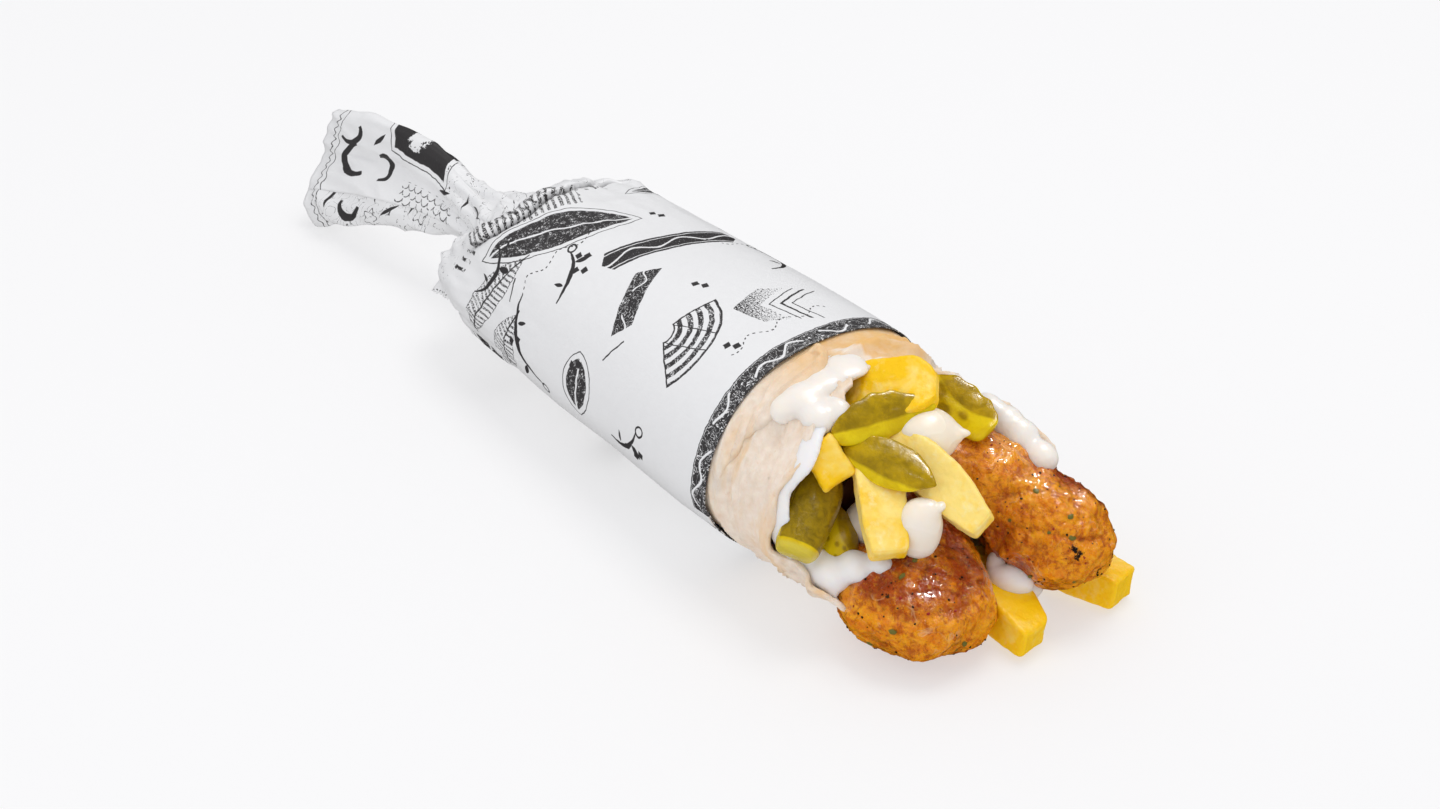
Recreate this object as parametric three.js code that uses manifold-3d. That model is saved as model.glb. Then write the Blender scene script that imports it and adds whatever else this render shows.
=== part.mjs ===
// A half chicken saj wrap in its printed paper, lying on its side.
// Thin flatbread is rolled round chicken, thick-cut fries, pickled cucumber and garlic sauce. The paper
// is rolled round the bread, twisted shut behind it, and its spare end fans out as a flat tail.
//
// Units are millimetres. X runs along the roll, from the tail to the open end, Y goes away from the side
// that is looked at, and Z is up. While the wrap is built, x = 0 is the paper's front edge and z = 0 the
// table. The last lines move it so that the origin is at the middle of its footprint.

import * as THREE from "three";
import { mergeVertices } from "three/addons/utils/BufferGeometryUtils.js";
import Module from "manifold-3d";

const wasm = await Module();
wasm.setup();

// ---------------------------------------------------------------- driving sizes

const ROLL_HALF_WIDTH = 38; // of the paper round the roll, at its front edge
const ROLL_HALF_HEIGHT = 31;
const ROLL_SQUARENESS = 2.1; // exponent of its rounded section: 2 is an ellipse, more is boxier
const ROLL_SAG = 0.3; // how much boxier it is far and high than near and low
const PAPER_THICK = 0.8; // the few turns of paper, pressed together
const CLEARANCE = 0.3; // between neighbours that touch
const TABLE_FLAT = 0.5; // height cut off what rests on the table
const BREAD_WALL = 2.6; // two layers of thin flatbread
const BREAD_EDGE = 1.5; // one layer, where the bread ends
const FLAP_THICK = 1.3; // the outer turn of bread that laps over the roll
const BREAD_BACK = -108; // x of the roll's closed end, inside the paper

// ---------------------------------------------------------------- solids from points

// A closed mesh as a manifold solid, turned so that its faces point outwards.
function solidOf(positions, triangles) {
  const geometry = new THREE.BufferGeometry();
  geometry.setAttribute("position", new THREE.Float32BufferAttribute(positions, 3));
  geometry.setIndex(triangles);
  return solidOfGeometry(geometry);
}

function solidOfGeometry(geometry) {
  const bare = geometry.clone();
  bare.deleteAttribute("normal");
  bare.deleteAttribute("uv");
  const merged = mergeVertices(bare, 1e-4);
  const make = (triVerts) => new wasm.Manifold(
    new wasm.Mesh({ numProp: 3, vertProperties: merged.attributes.position.array, triVerts }));
  const made = make(new Uint32Array(merged.index.array));
  return made.volume() > 0 ? made : make(new Uint32Array(merged.index.array).reverse());
}

// A solid whose skin runs through a row of rings of points, with a fan over each end.
function throughRings(rings) {
  const around = rings[0].length;
  const positions = rings.flatMap((ring) => ring.flatMap((p) => [p.x, p.y, p.z]));
  const triangles = [];
  for (let r = 0; r + 1 < rings.length; r++) {
    for (let i = 0; i < around; i++) {
      const j = (i + 1) % around;
      const [a, b] = [r * around + i, r * around + j];
      triangles.push(a, b, a + around, b, b + around, a + around);
    }
  }
  const fan = (ring, first, turned) => {
    const middle = ring.reduce((sum, p) => sum.add(p), new THREE.Vector3()).divideScalar(around);
    const tip = positions.length / 3;
    positions.push(middle.x, middle.y, middle.z);
    for (let i = 0; i < around; i++) {
      const j = (i + 1) % around;
      triangles.push(tip, ...(turned ? [first + j, first + i] : [first + i, first + j]));
    }
  };
  fan(rings[0], 0, true);
  fan(rings[rings.length - 1], (rings.length - 1) * around, false);
  return solidOf(positions, triangles);
}

// A thin curved plate between two grids of points of the same size.
function plate(outer, inner) {
  const [rows, columns] = [outer.length, outer[0].length];
  const positions = [...outer, ...inner].flatMap((row) => row.flatMap((p) => [p.x, p.y, p.z]));
  const at = (side, r, c) => (side * rows + r) * columns + c;
  const triangles = [];
  const quad = (a, b, c, d) => triangles.push(a, b, c, a, c, d);
  for (let r = 0; r + 1 < rows; r++) {
    for (let c = 0; c + 1 < columns; c++) {
      quad(at(0, r, c), at(0, r, c + 1), at(0, r + 1, c + 1), at(0, r + 1, c));
      quad(at(1, r, c), at(1, r + 1, c), at(1, r + 1, c + 1), at(1, r, c + 1));
    }
    quad(at(0, r, 0), at(0, r + 1, 0), at(1, r + 1, 0), at(1, r, 0));
    const e = columns - 1;
    quad(at(0, r, e), at(1, r, e), at(1, r + 1, e), at(0, r + 1, e));
  }
  for (let c = 0; c + 1 < columns; c++) {
    quad(at(0, 0, c), at(1, 0, c), at(1, 0, c + 1), at(0, 0, c + 1));
    const e = rows - 1;
    quad(at(0, e, c), at(0, e, c + 1), at(1, e, c + 1), at(1, e, c));
  }
  return solidOf(positions, triangles);
}

// The solid pushed out by a distance along its vertex normals.
function grown(solid, distance) {
  const mesh = solid.getMesh();
  const [count, stride] = [mesh.numVert, mesh.numProp];
  const point = (i) => new THREE.Vector3().fromArray(mesh.vertProperties, i * stride);
  const normals = Array.from({ length: count }, () => new THREE.Vector3());
  for (let t = 0; t < mesh.triVerts.length; t += 3) {
    const corners = [...mesh.triVerts.slice(t, t + 3)];
    const [a, b, c] = corners.map(point);
    const face = b.clone().sub(a).cross(c.clone().sub(a)).normalize();
    corners.forEach((v, k) => {
      const [p, q, r] = [point(v), point(corners[(k + 1) % 3]), point(corners[(k + 2) % 3])];
      normals[v].addScaledVector(face, q.sub(p).angleTo(r.sub(p)));
    });
  }
  const positions = new Float32Array(count * 3);
  normals.forEach((n, i) => point(i).addScaledVector(n.normalize(), distance).toArray(positions, i * 3));
  return new wasm.Manifold(
    new wasm.Mesh({ numProp: 3, vertProperties: positions, triVerts: mesh.triVerts }));
}

// The largest body of a solid, without the scraps that a cut leaves.
function largestBody(solid) {
  return solid.decompose().reduce((best, body) => (body.volume() > best.volume() ? body : best));
}

// ---------------------------------------------------------------- curves and noise

const radians = THREE.MathUtils.degToRad;
const mix = THREE.MathUtils.lerp;
const smooth = THREE.MathUtils.smoothstep;

// A value read off a row of [position, value] pairs, eased smoothly from each to the next.
function along(pairs, at) {
  const next = pairs.findIndex(([position]) => position >= at);
  if (next === 0) return pairs[0][1];
  if (next < 0) return pairs[pairs.length - 1][1];
  const [[x0, v0], [x1, v1]] = [pairs[next - 1], pairs[next]];
  return mix(v0, v1, smooth(at, x0, x1));
}

// A sharp zigzag from -1 to 1 with a period of 1, for creased paper.
const zigzag = (t) => 4 * Math.abs(t - Math.floor(t + 0.5)) - 1;

// Even lumps over a point: three crossed waves, from about -1 to 1.
function lumps(p, wave, seed) {
  const k = (2 * Math.PI) / wave;
  return (
    Math.sin(k * p.x + 1.7 * seed + 1.3 * Math.sin(k * p.y + seed)) +
    Math.sin(k * p.y + 2.9 * seed + 1.1 * Math.sin(k * p.z + 2 * seed)) +
    Math.sin(k * p.z + 4.1 * seed + 1.2 * Math.sin(k * p.x + 3 * seed))
  ) / 3;
}

// A point of a rounded section: angle 0 is the far side, 90 the top, 180 the near side, 270 the table.
function onSection(angle, halfWidth, halfHeight, squareness) {
  const bend = (v) => Math.sign(v) * Math.abs(v) ** (2 / squareness);
  return [halfWidth * bend(Math.cos(angle)), halfHeight * bend(Math.sin(angle))];
}

// ---------------------------------------------------------------- paper: body, twist and tail

const PAPER_AROUND = 36;
const PLEATS = 1.3; // waves up the flattened tail
const GATHERS = 9; // folds that run into the twist
const TAIL_BOW = 5; // how far the tail's cut edge bows out

// The stations of the paper from its front edge back. y and z are the section's centre and w and h its
// half width and half height. Lean tips the section so that its near side goes further back, tilt pushes
// its top away, gather is the depth of the folds that run to the twist, pleat that of the tail's waves,
// and turn twists those folds. Z, w and h are shares of the roll's half height and half width.
const PAPER_STATIONS = [
  { x: 0, y: 0, z: 1, w: 1, h: 1, lean: 0, tilt: 0, gather: 0, pleat: 0, turn: 0 },
  { x: -30, y: 0.8, z: 0.981, w: 0.982, h: 0.981, lean: 0, tilt: 0, gather: 0, pleat: 0, turn: 0 },
  { x: -60, y: 2.1, z: 0.961, w: 0.955, h: 0.961, lean: 0.02, tilt: 0, gather: 0.1, pleat: 0, turn: 0 },
  { x: -90, y: 3.8, z: 0.932, w: 0.918, h: 0.932, lean: 0.06, tilt: 0, gather: 0.3, pleat: 0, turn: 0 },
  { x: -108, y: 5.2, z: 0.916, w: 0.895, h: 0.916, lean: 0.14, tilt: 0, gather: 0.6, pleat: 0, turn: 0 },
  { x: -120, y: 6.2, z: 0.906, w: 0.868, h: 0.903, lean: 0.26, tilt: 0, gather: 1, pleat: 0, turn: 2 },
  { x: -129, y: 7.6, z: 0.897, w: 0.795, h: 0.858, lean: 0.34, tilt: 0, gather: 1.3, pleat: 0, turn: 4 },
  { x: -135, y: 7.4, z: 0.897, w: 0.658, h: 0.755, lean: 0.36, tilt: 0, gather: 1.5, pleat: 0, turn: 8 },
  { x: -140, y: 6.2, z: 0.903, w: 0.447, h: 0.581, lean: 0.28, tilt: 0, gather: 1.3, pleat: 0, turn: 18 },
  { x: -145, y: 4.2, z: 0.923, w: 0.289, h: 0.4, lean: 0.12, tilt: 0, gather: 1, pleat: 0, turn: 40 },
  { x: -152, y: 3, z: 0.968, w: 0.184, h: 0.284, lean: 0, tilt: 0.1, gather: 0.9, pleat: 0.3, turn: 60 },
  { x: -161, y: 2, z: 1, w: 0.142, h: 0.284, lean: 0, tilt: 0.2, gather: 0.6, pleat: 0.8, turn: 60 },
  { x: -176, y: 1, z: 1.01, w: 0.105, h: 0.4, lean: 0, tilt: 0.3, gather: 0.3, pleat: 1.4, turn: 60 },
  { x: -192, y: -1, z: 0.968, w: 0.084, h: 0.49, lean: 0, tilt: 0.34, gather: 0.1, pleat: 2, turn: 60 },
  { x: -206, y: -2.5, z: 0.877, w: 0.068, h: 0.542, lean: 0, tilt: 0.36, gather: 0, pleat: 2.3, turn: 60 },
  { x: -218, y: -4, z: 0.761, w: 0.063, h: 0.574, lean: 0, tilt: 0.36, gather: 0, pleat: 2.4, turn: 60 },
  { x: -228, y: -4.5, z: 0.645, w: 0.063, h: 0.59, lean: 0, tilt: 0.36, gather: 0, pleat: 2.4, turn: 60 },
];

// A smooth value between the second and third of four (Catmull and Rom's curve).
function eased([a, b, c, d], share) {
  return b + 0.5 * share * (c - a + share * (2 * a - 5 * b + 4 * c - d + share * (3 * (b - c) + d - a)));
}

// The paper's section at x, eased between its stations.
function sectionAt(x) {
  const last = PAPER_STATIONS.length - 1;
  const next = PAPER_STATIONS.findIndex((station) => station.x <= x);
  const first = THREE.MathUtils.clamp((next < 0 ? last : next) - 1, 0, last - 1);
  const nearby = [-1, 0, 1, 2].map((step) => PAPER_STATIONS[THREE.MathUtils.clamp(first + step, 0, last)]);
  const share = Math.max(0, (nearby[1].x - x) / (nearby[1].x - nearby[2].x));
  const here = {};
  for (const key of Object.keys(nearby[0])) here[key] = eased(nearby.map((station) => station[key]), share);
  here.z *= ROLL_HALF_HEIGHT;
  here.w *= ROLL_HALF_WIDTH;
  here.h *= ROLL_HALF_HEIGHT;
  return here;
}

// How far forward a point of a leaning section sits: its top and far side come forward.
const leant = (here, across, up) => here.lean * (across + 0.9 * Math.max(up, 0));

// The exponent of the roll's section at an angle.
const rollSquareness = (angle) => ROLL_SQUARENESS + ROLL_SAG * Math.cos(angle - Math.PI / 4);

// A point on the roll at x and angle, a depth under the outside of the paper.
function onRoll(x, angle, depth) {
  const here = sectionAt(x);
  const inwards = depth + here.gather; // under the folds of the paper
  const [across, up] = onSection(
    angle, here.w - inwards, here.h - inwards, rollSquareness(angle));
  return new THREE.Vector3(x + leant(here, across, up), here.y + across, here.z + up);
}

// One ring of the outside of the paper, or of the inside of its tail.
function paperRing(x, depth) {
  const here = sectionAt(x);
  const flat = smooth(-x, 150, 185); // the tail is a flattened tube
  return Array.from({ length: PAPER_AROUND }, (_, i) => {
    const angle = (i / PAPER_AROUND) * 2 * Math.PI;
    const fold = here.gather * zigzag((GATHERS * (angle + radians(here.turn))) / (2 * Math.PI));
    const squareness = mix(rollSquareness(angle), 2, flat);
    const [across, up] = onSection(
      angle, here.w + fold - depth, here.h + fold * (1 - flat) - depth, squareness);
    const pleat = here.pleat * Math.sin(Math.PI * (PLEATS * up) / here.h + 0.9);
    const fan = TAIL_BOW * (1 - (up / here.h) ** 2) * smooth(-x, 196, 228);
    return new THREE.Vector3(
      x + leant(here, across, up) - fan,
      here.y + across + pleat + here.tilt * up,
      here.z + up);
  });
}

// A corner of the sheet, folded under, that sticks out behind the near side, close to the table.
function paperCorner() {
  const stations = [
    { at: [-112, -18, 21], reach: [4, 1, 12], thick: 3 },
    { at: [-126, -18, 20], reach: [2, 4, 11.5], thick: 2.2 },
    { at: [-138, -17, 20.5], reach: [-1, 5, 9.5], thick: 1.4 },
    { at: [-148, -15, 22], reach: [1, 5, 7], thick: 0.7 },
  ];
  return throughRings(stations.map(({ at, reach, thick }) => Array.from({ length: 12 }, (_, i) => {
    const angle = ((i + 0.5) / 12) * 2 * Math.PI;
    return new THREE.Vector3(...at)
      .addScaledVector(new THREE.Vector3(...reach), Math.sin(angle))
      .add(new THREE.Vector3(-0.2, 1, 0).multiplyScalar(thick * Math.cos(angle)));
  })));
}

const insideRing = (x) => Array.from({ length: PAPER_AROUND }, (_, i) =>
  onRoll(x, (i / PAPER_AROUND) * 2 * Math.PI, PAPER_THICK));

function paperWrapper() {
  const stations = PAPER_STATIONS.map(({ x }) => x);
  const halfway = stations.slice(1).map((x, i) => (x + stations[i]) / 2);
  const inTwist = halfway.filter((x) => x < -108 && x > -165);
  const outside = [...stations, ...inTwist].sort((a, b) => b - a);
  const insideTail = [[-228, PAPER_THICK], [-218, PAPER_THICK], [-206, PAPER_THICK], [-197, 1.7]];
  const solid = throughRings([
    ...outside.map((x) => paperRing(x, 0)), ...insideTail.map(([x, depth]) => paperRing(x, depth))]);
  const room = [-114, -108, -90, -60, -30, 0, 5];
  return solid.add(paperCorner()).subtract(throughRings(room.map(insideRing)));
}

// ---------------------------------------------------------------- bread

const BREAD_AROUND = 32;

// How far past the paper's edge the bread reaches, by angle: least on top, most at the far side.
const MOUTH_EDGE = [
  [0, 60], [20, 58], [30, 48], [45, 34], [60, 23], [75, 15], [95, 12], [108, 14], [122, 18],
  [133, 23], [145, 27], [160, 30], [180, 31], [190, 33], [200, 38], [212, 46], [225, 50], [270, 48],
  [300, 48], [330, 54], [350, 59], [360, 60],
];
const mouthEdge = (angle) =>
  along(MOUTH_EDGE, (THREE.MathUtils.radToDeg(angle) + 360) % 360) + 0.8 * Math.sin(11 * angle);

// Lengthwise folds of the bread, deeper towards its mouth.
const breadFold = (x, angle) =>
  smooth(x, 0, 30) * (0.7 * zigzag(1.9 * angle + x / 60) + 0.5 * Math.sin(9 * angle + x / 9));

// The depth of the bread's outside: it swells a little where it leaves the paper.
const underPaper = (x) => mix(PAPER_THICK + 2 * CLEARANCE, 0.4, smooth(x, 0, 6));

function breadRing(share, depth, back, front) {
  return Array.from({ length: BREAD_AROUND }, (_, i) => {
    const angle = (i / BREAD_AROUND) * 2 * Math.PI;
    const x = mix(back, mouthEdge(angle) + front, share);
    return onRoll(x, angle, underPaper(x) + depth - breadFold(x, angle));
  });
}

function saj() {
  const shares = [0, 0.35, 0.68, 0.78, 0.86, 0.93, 1];
  const wall = (share) => mix(BREAD_WALL, BREAD_EDGE, smooth(share, 0.7, 1));
  const cup = throughRings([
    ...shares.map((s) => breadRing(s, wall(s), BREAD_BACK + BREAD_WALL, -0.5)),
    ...[...shares].reverse().map((s) => breadRing(s, 0, BREAD_BACK, 0)),
  ]);
  return cup.add(flap());
}

// The outer turn of bread: it laps over the top of the roll, and its free edge runs down the near side.
function flap() {
  const [top, bottom] = [97, 186]; // degrees
  const freeEdge = (angle) => along([[97, 12], [112, 12.5], [130, 9], [150, 6], [190, 4]], angle);
  const [rows, columns] = [10, 4];
  const grid = (lift) => Array.from({ length: rows + 1 }, (_, r) => {
    const degrees = mix(top, bottom, r / rows);
    const angle = radians(degrees);
    return Array.from({ length: columns + 1 }, (_, c) => {
      const x = mix(-4, freeEdge(degrees), c / columns);
      const fade = smooth(bottom - degrees, 0, 30);
      return onRoll(x, angle, underPaper(x) - breadFold(x, angle) - lift * fade * smooth(x, -1, 5));
    });
  });
  return plate(grid(FLAP_THICK), grid(-1));
}

// ---------------------------------------------------------------- fries and pickles

// A frame of three directions for a long piece: along it, across its broad face, and out of that face.
function pieceFrame(from, to, face) {
  const start = new THREE.Vector3(...from);
  const length = new THREE.Vector3(...to).sub(start);
  const lengthwise = length.clone().normalize();
  const across = new THREE.Vector3(...face).cross(lengthwise).normalize();
  const out = lengthwise.clone().cross(across);
  return { start, length: length.length(), lengthwise, across, out };
}

// A cut of potato. It runs between two points, with its broad face looking along face. The taper
// narrows its ends, bow bends it sideways, and slant cuts its far end askew.
function fry({ from, to, face, width, thick, ends = [0.86, 0.86], bow = 0, slant = 0, square = 5 }) {
  const { start, length, lengthwise, across, out } = pieceFrame(from, to, face);
  const [around, steps] = [12, 4];
  const rings = [];
  const ring = (share, size) => Array.from({ length: around }, (_, i) => {
    const angle = ((i + 0.5) / around) * 2 * Math.PI;
    const [u, v] = onSection(angle, width / 2, thick / 2, square);
    const narrow = mix(ends[0], 1, smooth(share, 0, 0.4)) * mix(1, ends[1], smooth(share, 0.6, 1));
    const lean = slant * (u / width) * smooth(share, 0.5, 1);
    return start.clone()
      .addScaledVector(lengthwise, (share + lean) * length)
      .addScaledVector(across, u * size * narrow + bow * Math.sin(Math.PI * share))
      .addScaledVector(out, v * size * narrow);
  });
  rings.push(ring(0, 0.72));
  for (let s = 0; s <= steps; s++) rings.push(ring(mix(0.04, 0.96, s / steps), 1));
  rings.push(ring(1, 0.72));
  return throughRings(rings);
}

const FRIES = {
  fry_top: {
    from: [15, -2, 56.5], to: [34, 11.5, 59.5], face: [0.25, -0.4, 0.87], width: 17, thick: 9,
    ends: [0.8, 0.8],
  },
  fry_block: {
    from: [12, -7, 34], to: [30, -22.5, 49], face: [0.2, 0.75, 0.6], width: 13, thick: 12.5,
    ends: [1, 0.95],
  },
  fry_long: {
    from: [29, 0, 52], to: [65.5, -4, 35.5], face: [0.25, -0.6, 0.75], width: 13, thick: 10.5,
    ends: [0.8, 0.66], bow: 2,
  },
  fry_upright: {
    from: [34, -8, 49], to: [51.5, -22, 32.5], face: [0.6, -0.4, 0.7], width: 12.5, thick: 8.5,
  },
  fry_front: {
    from: [42, 15, 9], to: [76.5, 8, 6], face: [0.1, 0.1, 1], width: 13.5, thick: 11, slant: -0.1,
  },
  fry_far: {
    from: [40, 32, 9], to: [76, 41, 6.2], face: [0, 0.1, 1], width: 13, thick: 11,
  },
};

// A slice of pickled cucumber: a long plate, thick in the middle, with skin on one bulging side.
function pickle({ from, to, face, width, thick, bulge = 1, bow = 0, wave = 0 }) {
  const { start, length, lengthwise, across, out } = pieceFrame(from, to, face);
  const [around, steps] = [10, 6];
  const rings = [];
  for (let s = 0; s <= steps; s++) {
    const share = s / steps;
    const girth = Math.max(0.16, Math.sin(Math.PI * mix(0.06, 0.94, share)) ** 0.55);
    rings.push(Array.from({ length: around }, (_, i) => {
      const angle = ((i + 0.5) / around) * 2 * Math.PI;
      const [u, v] = onSection(angle, (width / 2) * girth, (thick / 2) * Math.sqrt(girth), 2.6);
      const crown = bulge * (1 - (2 * u / width) ** 2) * girth;
      return start.clone()
        .addScaledVector(lengthwise, share * length)
        .addScaledVector(across, u + bow * Math.sin(Math.PI * share))
        .addScaledVector(out, v + crown + wave * Math.sin(2.4 * Math.PI * share));
    }));
  }
  return throughRings(rings);
}

const PICKLES = {
  pickle_under_top: {
    from: [27, -18.5, 54], to: [36, 8, 57], face: [0.6, -0.6, 0.55], width: 11, thick: 4.5,
    bow: 1.5, wave: 0.6,
  },
  pickle_middle: {
    from: [28, -15, 51], to: [53.5, -7, 48], face: [0.5, -0.45, 0.75], width: 12.5, thick: 4.5,
    wave: 0.5,
  },
  pickle_far: {
    from: [22, 19, 55], to: [46, 21, 49.5], face: [0.35, -0.55, 0.75], width: 12.5, thick: 4,
    wave: 0.9,
  },
  pickle_spear: {
    from: [22.5, -21.5, 43], to: [34.5, -35.5, 27.5], face: [0.65, -0.55, 0.5], width: 12, thick: 9,
    bulge: 1.6,
  },
  pickle_stub: {
    from: [24, -17, 30], to: [39.5, -24, 22], face: [0.6, -0.5, 0.6], width: 10.5, thick: 6.5,
  },
};

// ---------------------------------------------------------------- chicken and sauce

// A soft lump: round lobes that melt into each other, seen from a middle point, with relief on top.
// Each lobe is a centre, three half-sizes, and a heading and pitch in degrees.
const JOIN = 2.6; // how tightly lobes join: more is sharper
function lump({ middle, lobes, fine, relief = [] }) {
  const centre = new THREE.Vector3(...middle);
  const parts = lobes.map(({ at, size, heading = 0, pitch = 0 }) => {
    const turn = new THREE.Matrix4()
      .makeRotationZ(radians(heading))
      .multiply(new THREE.Matrix4().makeRotationY(radians(-pitch)));
    const place = new THREE.Matrix4().makeTranslation(...at).multiply(turn);
    return place.multiply(new THREE.Matrix4().makeScale(...size)).invert();
  });
  const field = (p) => parts.reduce(
    (sum, part) => sum + Math.exp(JOIN * (1 - p.clone().applyMatrix4(part).lengthSq())), 0);
  const geometry = new THREE.IcosahedronGeometry(1, fine);
  const position = geometry.getAttribute("position");
  const direction = new THREE.Vector3();
  for (let i = 0; i < position.count; i++) {
    direction.fromBufferAttribute(position, i).normalize();
    const at = (distance) => centre.clone().addScaledVector(direction, distance);
    let [near, far] = [0, 60];
    while (far > 0.5 && field(at(far)) < 1) far -= 0.5;
    near = far;
    far += 0.5;
    for (let k = 0; k < 12; k++) {
      const half = (near + far) / 2;
      if (field(at(half)) >= 1) near = half;
      else far = half;
    }
    const p = at(near);
    const rise = relief.reduce((sum, { wave, height, seed }) => sum + height * lumps(p, wave, seed), 0);
    p.addScaledVector(direction, rise);
    position.setXYZ(i, p.x, p.y, p.z);
  }
  return solidOfGeometry(geometry);
}

const CHICKEN_RELIEF = [
  { wave: 19, height: 1.1, seed: 1 },
  { wave: 8, height: 0.55, seed: 2 },
];

const CHICKEN = {
  chicken_near: {
    middle: [46, -8, 14], fine: 5,
    lobes: [
      { at: [48, -11, 14], size: [23, 18, 14.5], heading: -12 },
      { at: [37, 0, 16], size: [18, 15, 13] },
      { at: [58, -4, 13], size: [11, 11, 11] },
    ],
    relief: CHICKEN_RELIEF,
  },
  chicken_far: {
    middle: [54, 26, 24], fine: 5,
    lobes: [
      { at: [61, 27.5, 22], size: [18.5, 14, 15], heading: 10 },
      { at: [40, 22, 30], size: [20, 12.5, 13], heading: 2 },
    ],
    relief: CHICKEN_RELIEF,
  },
};

const DOLLOPS = {
  sauce_splash: {
    middle: [17, -15, 57], fine: 3,
    lobes: [
      { at: [11, -3, 61], size: [8, 5, 3], heading: -60 },
      { at: [15, -13, 60], size: [6, 7, 4.5] },
      { at: [18, -21, 56.5], size: [7, 6, 4.5] },
      { at: [21, -14, 53], size: [5, 5, 6] },
    ],
  },
  sauce_dollop_far: {
    middle: [37, 5, 50], fine: 3,
    lobes: [
      { at: [37, 5, 49.5], size: [11, 9, 8], heading: 40 },
      { at: [45, 11.5, 51.5], size: [5, 2.2, 2.2], heading: 45 },
    ],
  },
  sauce_dollop_near: {
    middle: [52, -11, 37], fine: 3,
    lobes: [
      { at: [52, -11, 36], size: [6, 6.2, 8.6] },
      { at: [53, -5, 42], size: [3, 2, 2], heading: 60 },
    ],
  },
  sauce_wall: {
    middle: [46, 30, 42], fine: 3,
    lobes: [
      { at: [43, 30, 43], size: [6.5, 5, 5.5] },
      { at: [52, 31, 40], size: [7, 4, 4.5], pitch: -20 },
      { at: [35, 29, 48], size: [5, 3.5, 3] },
    ],
  },
  sauce_between: {
    middle: [56, 21, 9], fine: 2,
    lobes: [
      { at: [56, 21, 8], size: [8, 8, 7] },
      { at: [62, 16, 9], size: [4, 4, 4] },
    ],
  },
  sauce_dab: {
    middle: [32, -9, 26], fine: 2,
    lobes: [{ at: [33, -11, 27], size: [6.5, 6, 6.5] }],
  },
};

// Where the sauce wells up at the near side of the mouth.
const SAUCE_POOL = {
  middle: [28, -24, 22], fine: 3,
  lobes: [
    { at: [34, -25, 15], size: [10, 8, 8] },
    { at: [42, -22, 12], size: [8, 7, 6] },
    { at: [27, -29, 26], size: [7, 5, 10] },
    { at: [27, -30, 38], size: [4, 3, 9] },
  ],
};

// The room in the rolled bread. Its stations are x, the share of the bread's own section, and the point
// that the section shrinks to.
const ROOM = [
  { x: -101, size: 0.7, y: 3, z: 29 }, { x: -97, size: 1, y: 3, z: 29 }, { x: -60, size: 1, y: 0, z: 30 },
  { x: -20, size: 1, y: 0, z: 31 }, { x: 2, size: 1, y: 0, z: 31 }, { x: 10, size: 0.9, y: 0, z: 28 },
  { x: 26, size: 0.72, y: -9, z: 19 },
];
const UNDER_BREAD = PAPER_THICK + 2 * CLEARANCE + BREAD_WALL + 2 * CLEARANCE;

function roomInBread() {
  const around = 20;
  return throughRings(ROOM.map(({ x, size, y, z }) => Array.from({ length: around }, (_, i) => {
    const inBread = onRoll(Math.min(x, 0), (i / around) * 2 * Math.PI, UNDER_BREAD).setX(x);
    return new THREE.Vector3(x, y, z).lerp(inBread, size);
  })));
}

// Chicken fills the roll from its closed end to behind the pieces that show, high and far in it.
const CHICKEN_FRONT = 3; // x
const chickenFilling = () => {
  const room = roomInBread();
  return room.intersect(room.translate([4, 4, 6])).trimByPlane([-1, 0, 0], -CHICKEN_FRONT);
};

// ---------------------------------------------------------------- fitting the pieces to each other

const paint = {
  paper: { color: 0xf1f0ee, roughness: 0.75 },
  bread: { color: 0xe6c9a0, roughness: 0.85 },
  fry: { color: 0xf0b92a, roughness: 0.6 },
  pickle: { color: 0x8f8a14, roughness: 0.35 },
  chicken: { color: 0xb5560f, roughness: 0.4 },
  sauce: { color: 0xf6efe2, roughness: 0.35 },
};

const wrap = new THREE.Group();

function show(name, finish, solid) {
  const mesh = solid.getMesh();
  const geometry = new THREE.BufferGeometry();
  const corners = new Float32Array(mesh.numVert * 3);
  for (let i = 0; i < mesh.numVert; i++) {
    corners.set(mesh.vertProperties.subarray(i * mesh.numProp, i * mesh.numProp + 3), i * 3);
  }
  geometry.setAttribute("position", new THREE.BufferAttribute(corners, 3));
  geometry.setIndex(new THREE.BufferAttribute(mesh.triVerts, 1));
  const made = new THREE.Mesh(geometry, new THREE.MeshStandardMaterial({ ...paint[finish], metalness: 0 }));
  made.name = name;
  wrap.add(made);
}

// What is left of a solid above the table, with a small flat where it rests.
const aboveTable = (solid) => solid.trimByPlane([0, 0, 1], TABLE_FLAT);

const paper = aboveTable(paperWrapper());
const bread = largestBody(aboveTable(saj().subtract(grown(paper, CLEARANCE))));
show("paper_wrapper", "paper", paper);
show("saj_bread", "bread", bread);

// Each piece gives way to all that is fitted before it.
let taken = grown(bread, CLEARANCE).add(grown(paper, CLEARANCE));
function fit(name, finish, solid) {
  const fitted = largestBody(aboveTable(solid.subtract(taken)));
  show(name, finish, fitted);
  taken = taken.add(grown(fitted, CLEARANCE));
}
fit("chicken_filling", "chicken", chickenFilling());
for (const [name, shape] of Object.entries(FRIES)) fit(name, "fry", fry(shape));
for (const [name, shape] of Object.entries(PICKLES)) fit(name, "pickle", pickle(shape));
for (const [name, shape] of Object.entries(CHICKEN)) fit(name, "chicken", lump(shape));
for (const [name, shape] of Object.entries(DOLLOPS)) fit(name, "sauce", lump(shape));
// The garlic sauce lines the near and low side of the bread, and wells up at the mouth.
fit("garlic_sauce", "sauce", roomInBread().add(lump(SAUCE_POOL)));

// The origin goes to the middle of the footprint, on the table.
const box = new THREE.Box3().setFromObject(wrap);
const middle = box.getCenter(new THREE.Vector3());
wrap.position.set(-middle.x, -middle.y, -box.min.z);

export default wrap;
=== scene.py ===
import math

import bmesh
import bpy
import numpy as np
from mathutils import Matrix, Vector


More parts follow.
